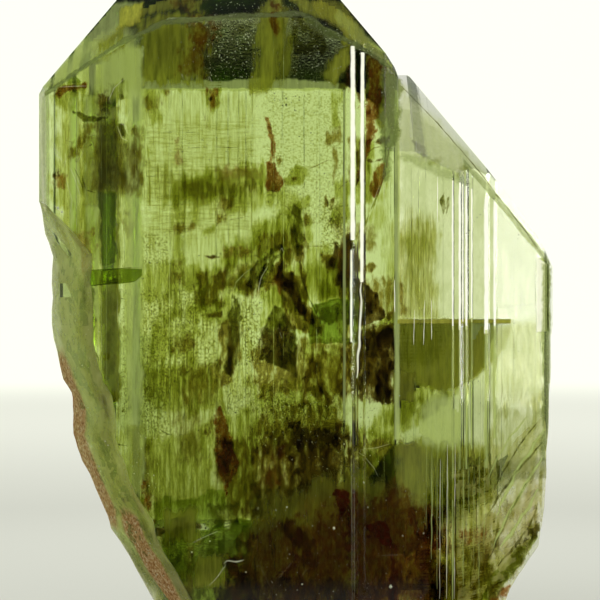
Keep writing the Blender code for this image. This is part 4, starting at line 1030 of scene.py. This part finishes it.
# Streaks on the front, from the lowest to the topmost: kind, width, strength and course. A last
# number says how wavy it is.
FRONT_STREAKS = [
    # Fine lines down the lower right, by turns light and dark: the light ones glow with painted light
    *[(("pale", "olive", "pale", "dark")[k % 4], 0.035 + 0.02 * (k * 7 % 3), 0.45 + 0.1 * (k * 5 % 4),
       (427 + 2.7 * k, 446 + k * 37 % 23, 426.6 + 2.7 * k, 530 + k * 53 % 76)) for k in range(23)],
    # Painted highlights along the narrow bevels at the right edge of the main crystal, on the solid's own
    # steps: white lines that glow by emission
    ("gleam", 0.30, 1.0, (352.8, 46, 352.8, 240), 0.1),
    ("gleam", 0.14, 0.9, (351.4, 250, 351.2, 342), 0.2),
    ("gleam", 0.24, 1.0, (362.6, 52, 362.0, 282), 0.1),
    ("gleam", 0.16, 0.7, (361.6, 282, 360, 330, 357, 378)),
    # The same painted highlights on the thin crystal, and faint ones beside them
    *upright("gleam", (453.3, 180, 330, 0.12, 1.0), (460.6, 182, 330, 0.17, 1.0),
             (463.8, 183, 322, 0.10, 1.0), (467.5, 185, 330, 0.16, 1.0), (473.1, 188, 322, 0.10, 1.0),
             (488, 196, 334, 0.30, 1.0), (496.6, 200, 330, 0.16, 1.0)),
    ("gleam", 0.05, 0.8, (438, 176, 438, 222)),
    ("gleam", 0.05, 0.6, (432, 300, 432, 340)),
    ("gleam", 0.05, 0.6, (425, 300, 424, 345)),
    ("gleam", 0.05, 0.6, (415, 310, 414, 345)),
    ("gleam", 0.06, 0.9, (395, 280, 395, 312)),
    ("gleam", 0.04, 0.5, (448, 445, 447, 600)),
    ("gleam", 0.04, 0.5, (456, 445, 455, 600)),
    ("gleam", 0.04, 0.4, (441, 460, 440, 600)),
    # Their lower ends, grey green, with a painted glow
    *upright("pale", (453.3, 326, 450, 0.12, 0.8), (460.6, 326, 470, 0.12, 0.5), (467.5, 326, 470, 0.14, 0.6),
             (473.1, 318, 450, 0.12, 0.8), (488, 330, 470, 0.26, 0.6), (496.6, 326, 440, 0.18, 0.8)),
    # Folds of the broken lower right: the light streaks are painted highlights that glow, the dark ones
    # painted shade between them
    ("pale", 0.26, 1.0, (548, 430, 533, 454, 518, 476, 508, 496, 500, 518)),
    ("pale", 0.24, 1.0, (546, 460, 531, 484, 518, 505, 503, 531, 496, 552)),
    ("pale", 0.22, 1.0, (542, 492, 531, 512, 519, 531, 503, 550)),
    ("pale", 0.14, 0.7, (530, 418, 512, 440, 498, 462, 490, 480)),
    ("dark", 0.16, 0.5, (546, 444, 531, 462, 516, 478, 500, 500, 488, 520)),
    ("dark", 0.16, 0.5, (540, 474, 525, 494, 512, 516, 500, 544, 492, 560)),
    ("dark", 0.16, 0.5, (543, 506, 534, 528, 519, 548, 500, 569)),
    ("dark", 0.12, 0.6, (540, 424, 522, 448, 506, 474, 496, 492)),
    ("pale", 0.1, 0.6, (453.3, 440, 453.3, 606), 0.3),
    # Dark rims of the thin crystal
    ("dark", 0.07, 0.7, (403, 80, 440, 120, 470, 157, 500, 195, 530, 232, 551, 262)),
    ("dark", 0.09, 0.8, (552.4, 264, 552.6, 330)),
]

# Grains: an outline, depth, how many, and the smallest and largest across
GRAINS = [
    ((250, 88, 348, 90, 346, 168, 252, 166), 5.0, 110, 0.04, 0.10),
    ((270, 92, 310, 92, 310, 112, 270, 112), 4.0, 34, 0.05, 0.13),
    ((142, 130, 262, 126, 262, 162, 142, 160), 5.6, 70, 0.04, 0.10),
    ((282, 170, 348, 168, 346, 240, 284, 236), 4.4, 110, 0.04, 0.11),
    ((318, 216, 346, 216, 344, 252, 320, 252), 4.2, 60, 0.05, 0.11),
    ((120, 236, 222, 226, 222, 300, 120, 300), 5.6, 190, 0.04, 0.12),
    ((118, 290, 150, 290, 170, 420, 120, 430), 5.0, 260, 0.04, 0.12),
    ((150, 320, 222, 320, 222, 362, 150, 362), 5.2, 110, 0.04, 0.11),
    ((240, 300, 262, 302, 260, 374, 240, 374), 3.4, 120, 0.04, 0.11),
    ((222, 372, 300, 380, 296, 412, 222, 420), 4.4, 140, 0.04, 0.12),
    ((256, 396, 342, 396, 342, 446, 256, 446), 2.4, 120, 0.05, 0.13),
    ((358, 394, 378, 404, 376, 428, 360, 430), 2.2, 60, 0.05, 0.10),
    ((180, 430, 216, 430, 216, 520, 180, 520), 4.2, 60, 0.05, 0.12),
    ((146, 524, 212, 518, 212, 530, 146, 532), 2.6, 40, 0.08, 0.22),
    ((500, 300, 546, 280, 546, 400, 500, 380), 1.6, 22, 0.05, 0.11),
    ((400, 180, 440, 190, 440, 240, 400, 240), 1.8, 8, 0.05, 0.10),
    ((520, 220, 530, 230, 528, 250, 518, 240), 1.2, 6, 0.07, 0.16),
    ((440, 380, 500, 380, 500, 430, 440, 430), 1.8, 26, 0.05, 0.10),
]

# A crack in the thin crystal, whose front lies deeper, that is healed but for a row of pores
THIN_FRONT = FRONT + 0.6
PORE_DEPTH = 0.4
PORES = [
    (495, 198), (492, 201), (489, 205), (486, 208), (484, 211), (481, 214), (478, 217), (475, 221),
    (470, 230), (467, 233), (465, 236), (463, 240),
]

# White dust on the front: an outline, how many, and the smallest and largest across
DUST = [
    ((206, 24, 256, 22, 254, 80, 208, 80), 130, 0.03, 0.11),
    ((236, 34, 252, 30, 252, 50, 236, 50), 22, 0.03, 0.13),
    ((292, 18, 344, 36, 346, 84, 294, 84), 60, 0.03, 0.09),
    ((306, 40, 320, 38, 320, 84, 308, 84), 26, 0.03, 0.09),
    ((142, 26, 204, 24, 204, 70, 142, 74), 36, 0.03, 0.08),
    ((214, 0, 264, 0, 262, 16, 214, 16), 46, 0.03, 0.09),
    ((282, 0, 330, 2, 326, 20, 284, 14), 30, 0.03, 0.08),
    ((320, 22, 352, 32, 378, 52, 372, 60, 330, 40), 40, 0.03, 0.09),
    ((384, 80, 400, 80, 396, 140, 386, 160), 36, 0.03, 0.11),
    ((262, 392, 342, 396, 342, 470, 264, 470), 70, 0.03, 0.07),
    ((256, 490, 350, 490, 350, 600, 256, 600), 80, 0.03, 0.09),
    ((352, 480, 440, 480, 440, 600, 352, 600), 70, 0.03, 0.09),
    ((60, 300, 96, 300, 120, 440, 84, 420), 40, 0.03, 0.08),
    ((116, 436, 160, 428, 160, 500, 130, 500), 34, 0.03, 0.08),
    ((130, 540, 160, 540, 168, 600, 140, 590), 40, 0.03, 0.11),
    ((356, 396, 380, 396, 380, 470, 356, 470), 20, 0.03, 0.07),
]

# Bigger flecks on the front: pixel place and size
FLECKS = [
    (287, 507, 0.17), (334, 528, 0.26), (302, 584, 0.20), (246, 572, 0.13), (276, 510, 0.14),
    (104, 442, 0.22), (107, 446, 0.18), (96, 469, 0.16), (80, 366, 0.13), (364, 483, 0.20),
    (391, 588, 0.34), (368, 508, 0.16), (440, 550, 0.13), (424, 534, 0.13), (58, 208, 0.28),
    (62, 212, 0.18), (210, 541, 0.12), (192, 552, 0.12), (400, 396, 0.14), (464, 363, 0.16),
    (516, 490, 0.26), (386, 404, 0.10), (344, 444, 0.12), (382, 92, 0.12),
]


def crystal_films(surface):
    """The films and streaks, those of each kind as one piece."""
    kinds = film_kinds()
    sheets = {kind: Film(surface) for kind in kinds}
    for kind, depth, soft, strength, outline, *wavy in FILMS:
        sheets[kind].add(outline, depth, soft, strength, *wavy)
    for kind, soft, strength, outline, *wavy in FRONT_FILMS:
        sheets[kind].add(outline, ON_FRONT, soft, strength, *wavy)
    for kind, rows in STREAKS.items():
        for depth, width, strength, *courses in rows:
            for course in courses:
                sheets[kind].line(course, depth, width, strength)
    for kind, width, strength, course, *wavy in FRONT_STREAKS:
        sheets[kind].line(course, ON_FRONT, width, strength, *wavy)
    for kind, sheet in sheets.items():
        sheet.build(kind + "_films", kinds[kind])


class Crumbs:
    """Collects small angular grains as one mesh."""

    CORNERS = ((1, 0, 0), (-1, 0, 0), (0, 1, 0), (0, -1, 0), (0, 0, 1), (0, 0, -1))
    SIDES = ((0, 2, 4), (2, 1, 4), (1, 3, 4), (3, 0, 4), (2, 0, 5), (1, 2, 5), (3, 1, 5), (0, 3, 5))

    def __init__(self, seed):
        self.draw = random.Random(seed)
        self.places = []
        self.faces = []

    def within(self, outline):
        """A random pixel inside an outline."""
        points = pairs(outline)
        xs = [p[0] for p in points]
        ys = [p[1] for p in points]
        while True:
            px = self.draw.uniform(min(xs), max(xs))
            py = self.draw.uniform(min(ys), max(ys))
            if distance_inside(points, np.array([px]), np.array([py]))[0] > 0:
                return px, py

    def size(self, small, large):
        """Small grains are commoner than large ones."""
        return small + (large - small) * self.draw.random() ** 2.2

    def add(self, x, y, z, across, flat=1.0):
        first = len(self.places)
        turn = Vector([self.draw.random() - 0.5 for _ in range(3)]).normalized()
        spin = turn.to_track_quat("Z", "Y")
        for corner in self.CORNERS:
            p = Vector(corner) * across / 2 * self.draw.uniform(0.6, 1.2)
            p = spin @ p
            self.places.append(((x + p.x) * MM, (y + p.y * flat) * MM, (z + p.z) * MM))
        self.faces += [[first + k for k in side] for side in self.SIDES]

    def build(self, name, material):
        mesh = bpy.data.meshes.new(name)
        mesh.from_pydata(self.places, [], self.faces)
        return belongs(add_object(name, mesh, material))


def chromite_material():
    """Chromite: brown black and dull, and nearly opaque."""
    made, tree = new_material("chromite_grain")
    body = node(tree, "BsdfPrincipled", {}, Base_Color=linear("#2A2A10"), Roughness=0.5, IOR=2.1)
    node(tree, "OutputMaterial", {}, Surface=body)
    return made


def dust_material():
    """White mineral dust, bright because it scatters light."""
    made, tree = new_material("white_mineral_dust")
    grey = node(tree, "BsdfDiffuse", {}, Color=linear("#F2F4E0"))
    through = node(tree, "BsdfTranslucent", {}, Color=linear("#E4EAC4"))
    both = node(tree, "MixShader", {}, i0=0.6, i1=grey, i2=through)
    node(tree, "OutputMaterial", {}, Surface=both)
    return made


def dark_grains():
    """Chromite grains and pores, from a hair's width down to dust."""
    crumbs = Crumbs(11)
    for outline, depth, count, small, large in GRAINS:
        for _ in range(count):
            px, py = crumbs.within(outline)
            deep = depth + crumbs.draw.uniform(-0.3, 0.3)
            x, z = seen(px, py, deep)
            crumbs.add(x, FRONT + deep, z, crumbs.size(small, large))
    for px, py in PORES:
        x, z = seen(px, py, PORE_DEPTH)
        crumbs.add(x, THIN_FRONT + PORE_DEPTH, z, crumbs.draw.uniform(0.07, 0.15))
    crumbs.build("dark_grains", chromite_material())


def white_dust(surface):
    """Dust and tiny chips on the front."""
    crumbs = Crumbs(23)
    rest = Film(surface)
    spots = []
    for outline, count, small, large in DUST:
        for _ in range(count):
            px, py = crumbs.within(outline)
            spots.append((px, py, crumbs.size(small, large)))
    for px, py, across in spots + FLECKS:
        x, z = seen(px, py)
        y = rest.front_at(x, z)
        if y is not None:
            crumbs.add(x, y, z, across, flat=0.4)
    crumbs.build("white_dust", dust_material())


# Studio, in metres

TENT_FLOOR = 0.55
TENT_BEND = 0.25
TENT_HEIGHT = 1.1
BEND_STEPS = 12
TENT_SIDES = 96


def tent_shape():
    """A floor that sweeps up all round like a light tent."""
    profile = [(0.0, 0.0), (0.30, 0.0), (TENT_FLOOR, 0.0)]
    for k in range(1, BEND_STEPS + 1):
        turn = math.radians(90 * k / BEND_STEPS)
        profile.append((TENT_FLOOR + TENT_BEND * math.sin(turn), TENT_BEND - TENT_BEND * math.cos(turn)))
    profile.append((TENT_FLOOR + TENT_BEND, TENT_HEIGHT))
    shape = bmesh.new()
    line = [shape.verts.new((r, 0, z)) for r, z in profile]
    edges = [shape.edges.new(pair) for pair in zip(line, line[1:])]
    bmesh.ops.spin(shape, geom=line + edges, cent=(0, 0, 0), axis=(0, 0, 1), angle=math.tau, steps=TENT_SIDES)
    bmesh.ops.remove_doubles(shape, verts=shape.verts, dist=1e-5)
    bmesh.ops.recalc_face_normals(shape, faces=shape.faces)
    bmesh.ops.reverse_faces(shape, faces=shape.faces)
    mesh = bpy.data.meshes.new("floor")
    shape.to_mesh(mesh)
    shape.free()
    mesh.shade_smooth()
    return mesh


def tent_material():
    """Pale diffusing paper with painted light: it glows by emission, most behind the crystal and on
    the walls, with a painted pool of light just under it. Painted shade makes it dark only in a sector in
    front, where the camera looks in."""
    made, tree = new_material("paper_with_painted_light")
    axes = node(tree, "SeparateXYZ", {}, Vector=node(tree, "TexCoord").outputs["Object"])
    x, y = axes.outputs["X"], axes.outputs["Y"]
    behind = node(tree, "MapRange", SMOOTH, Value=y, From_Min=-0.05, From_Max=0.30, To_Min=0.0, To_Max=0.33)

    # by the square of the distance from the middle: a painted pool of light a little under the crystal, where
    # its shadow falls, and painted glow on the walls
    far = node(tree, "Math", {"operation": "POWER"}, i0=x, i1=2.0)
    far = node(tree, "Math", MULTIPLY_ADD, i0=y, i1=y, i2=far)
    near = node(tree, "MapRange", SMOOTH, Value=far, From_Min=0.0016, From_Max=0.012, To_Min=0.10, To_Max=0.0)
    wall = node(tree, "MapRange", SMOOTH, Value=far, From_Min=0.12, From_Max=0.30, To_Min=0.33, To_Max=0.55)

    # the dark sector in front of the crystal, out from a short way before it: painted shade that darkens both
    # the paper and its glow
    forward = node(tree, "Math", MULTIPLY, i0=y, i1=-1.0)
    forward = node(tree, "Math", {"operation": "MAXIMUM"}, i0=forward, i1=0.001)
    aside = node(tree, "Math", {"operation": "ABSOLUTE"}, i0=x)
    aside = node(tree, "Math", {"operation": "DIVIDE"}, i0=aside, i1=forward)
    facing = node(tree, "MapRange", SMOOTH, Value=aside, From_Min=0.24, From_Max=0.6, To_Min=1.0, To_Max=0.0)
    ahead = node(tree, "MapRange", SMOOTH, Value=forward, From_Min=0.028, From_Max=0.045)
    painted_dark_sector = node(tree, "Math", MULTIPLY, i0=facing, i1=ahead)

    # painted light, cut by the painted shade in front
    glow = node(tree, "Math", {"operation": "ADD"}, i0=behind, i1=near)
    glow = node(tree, "Math", {"operation": "ADD"}, i0=glow, i1=wall)
    shade = node(tree, "Math", MULTIPLY_ADD, i0=painted_dark_sector, i1=-0.92, i2=1.0)
    glow = node(tree, "Math", MULTIPLY, i0=glow, i1=shade)
    tone = node(tree, "Mix", {"data_type": "RGBA"}, Factor=painted_dark_sector, A=linear("#898A84"), B=linear("#2E2E2C"))
    paper = node(tree, "BsdfDiffuse", {}, Color=tone.outputs["Result"])
    lit = node(tree, "Emission", {}, Color=linear("#FDFFF2"), Strength=glow)
    both = node(tree, "AddShader", {}, i0=paper, i1=lit)
    node(tree, "OutputMaterial", {}, Surface=both)
    made.cycles.emission_sampling = "NONE"
    return made


def soft_light(name, place, aim, size, radiance):
    """A soft box that the camera doesn't see."""
    lamp = bpy.data.lights.new(name, "AREA")
    lamp.shape = "RECTANGLE"
    lamp.size, lamp.size_y = size
    lamp.energy = radiance * math.pi * size[0] * size[1]
    obj = bpy.data.objects.new(name, lamp)
    bpy.context.scene.collection.objects.link(obj)
    obj.location = place
    obj.rotation_euler = (Vector(aim) - Vector(place)).to_track_quat("-Z", "Y").to_euler()
    obj.visible_camera = False


def lighting():
    """One soft box over the left front, one at the right, and a small one that the steps mirror."""
    soft_light("overhead_soft_box", (-0.30, -0.32, 0.45), (0, 0, 0.02), (0.40, 0.40), 2.4)
    soft_light("right_soft_box", (0.40, 0.035, 0.05), (0, 0, 0.02), (0.12, 0.20), 14.0)
    soft_light("front_right_soft_box", (0.141, -0.340, 0.023), (0.015, 0, 0.02), (0.045, 0.08), 18.0)
    world = bpy.data.worlds.new("studio")
    world.use_nodes = True
    world.node_tree.nodes["Background"].inputs["Color"].default_value = linear("#BCBCB8")
    world.node_tree.nodes["Background"].inputs["Strength"].default_value = 0.5
    bpy.context.scene.world = world


def camera():
    """Level with the photograph's middle and square to the front face."""
    lens = bpy.data.cameras.new("camera")
    lens.lens = LENS
    lens.sensor_width = SENSOR
    lens.clip_start = 0.005
    obj = bpy.data.objects.new("camera", lens)
    bpy.context.scene.collection.objects.link(obj)
    obj.location = (AIM[0] * MM, (FRONT - DISTANCE) * MM, AIM[1] * MM)
    obj.rotation_euler = (math.radians(90), 0, 0)
    bpy.context.scene.camera = obj


def light_paths():
    """Light turns many times inside the crystal, so it is followed further than usual."""
    scene = bpy.context.scene
    scene.cycles.max_bounces = 40
    scene.cycles.transmission_bounces = 36
    scene.cycles.glossy_bounces = 36
    scene.cycles.diffuse_bounces = 1
    scene.cycles.transparent_max_bounces = 64
    scene.cycles.use_denoising = True
    scene.view_settings.view_transform = "Standard"


camera()
light_paths()
add_object("floor", tent_shape(), tent_material())
lighting()
body = crystal_body()
surface = BVHTree.FromObject(body, bpy.context.evaluated_depsgraph_get())
crystal_films(surface)
dark_grains()
white_dust(surface)
rock_crust()
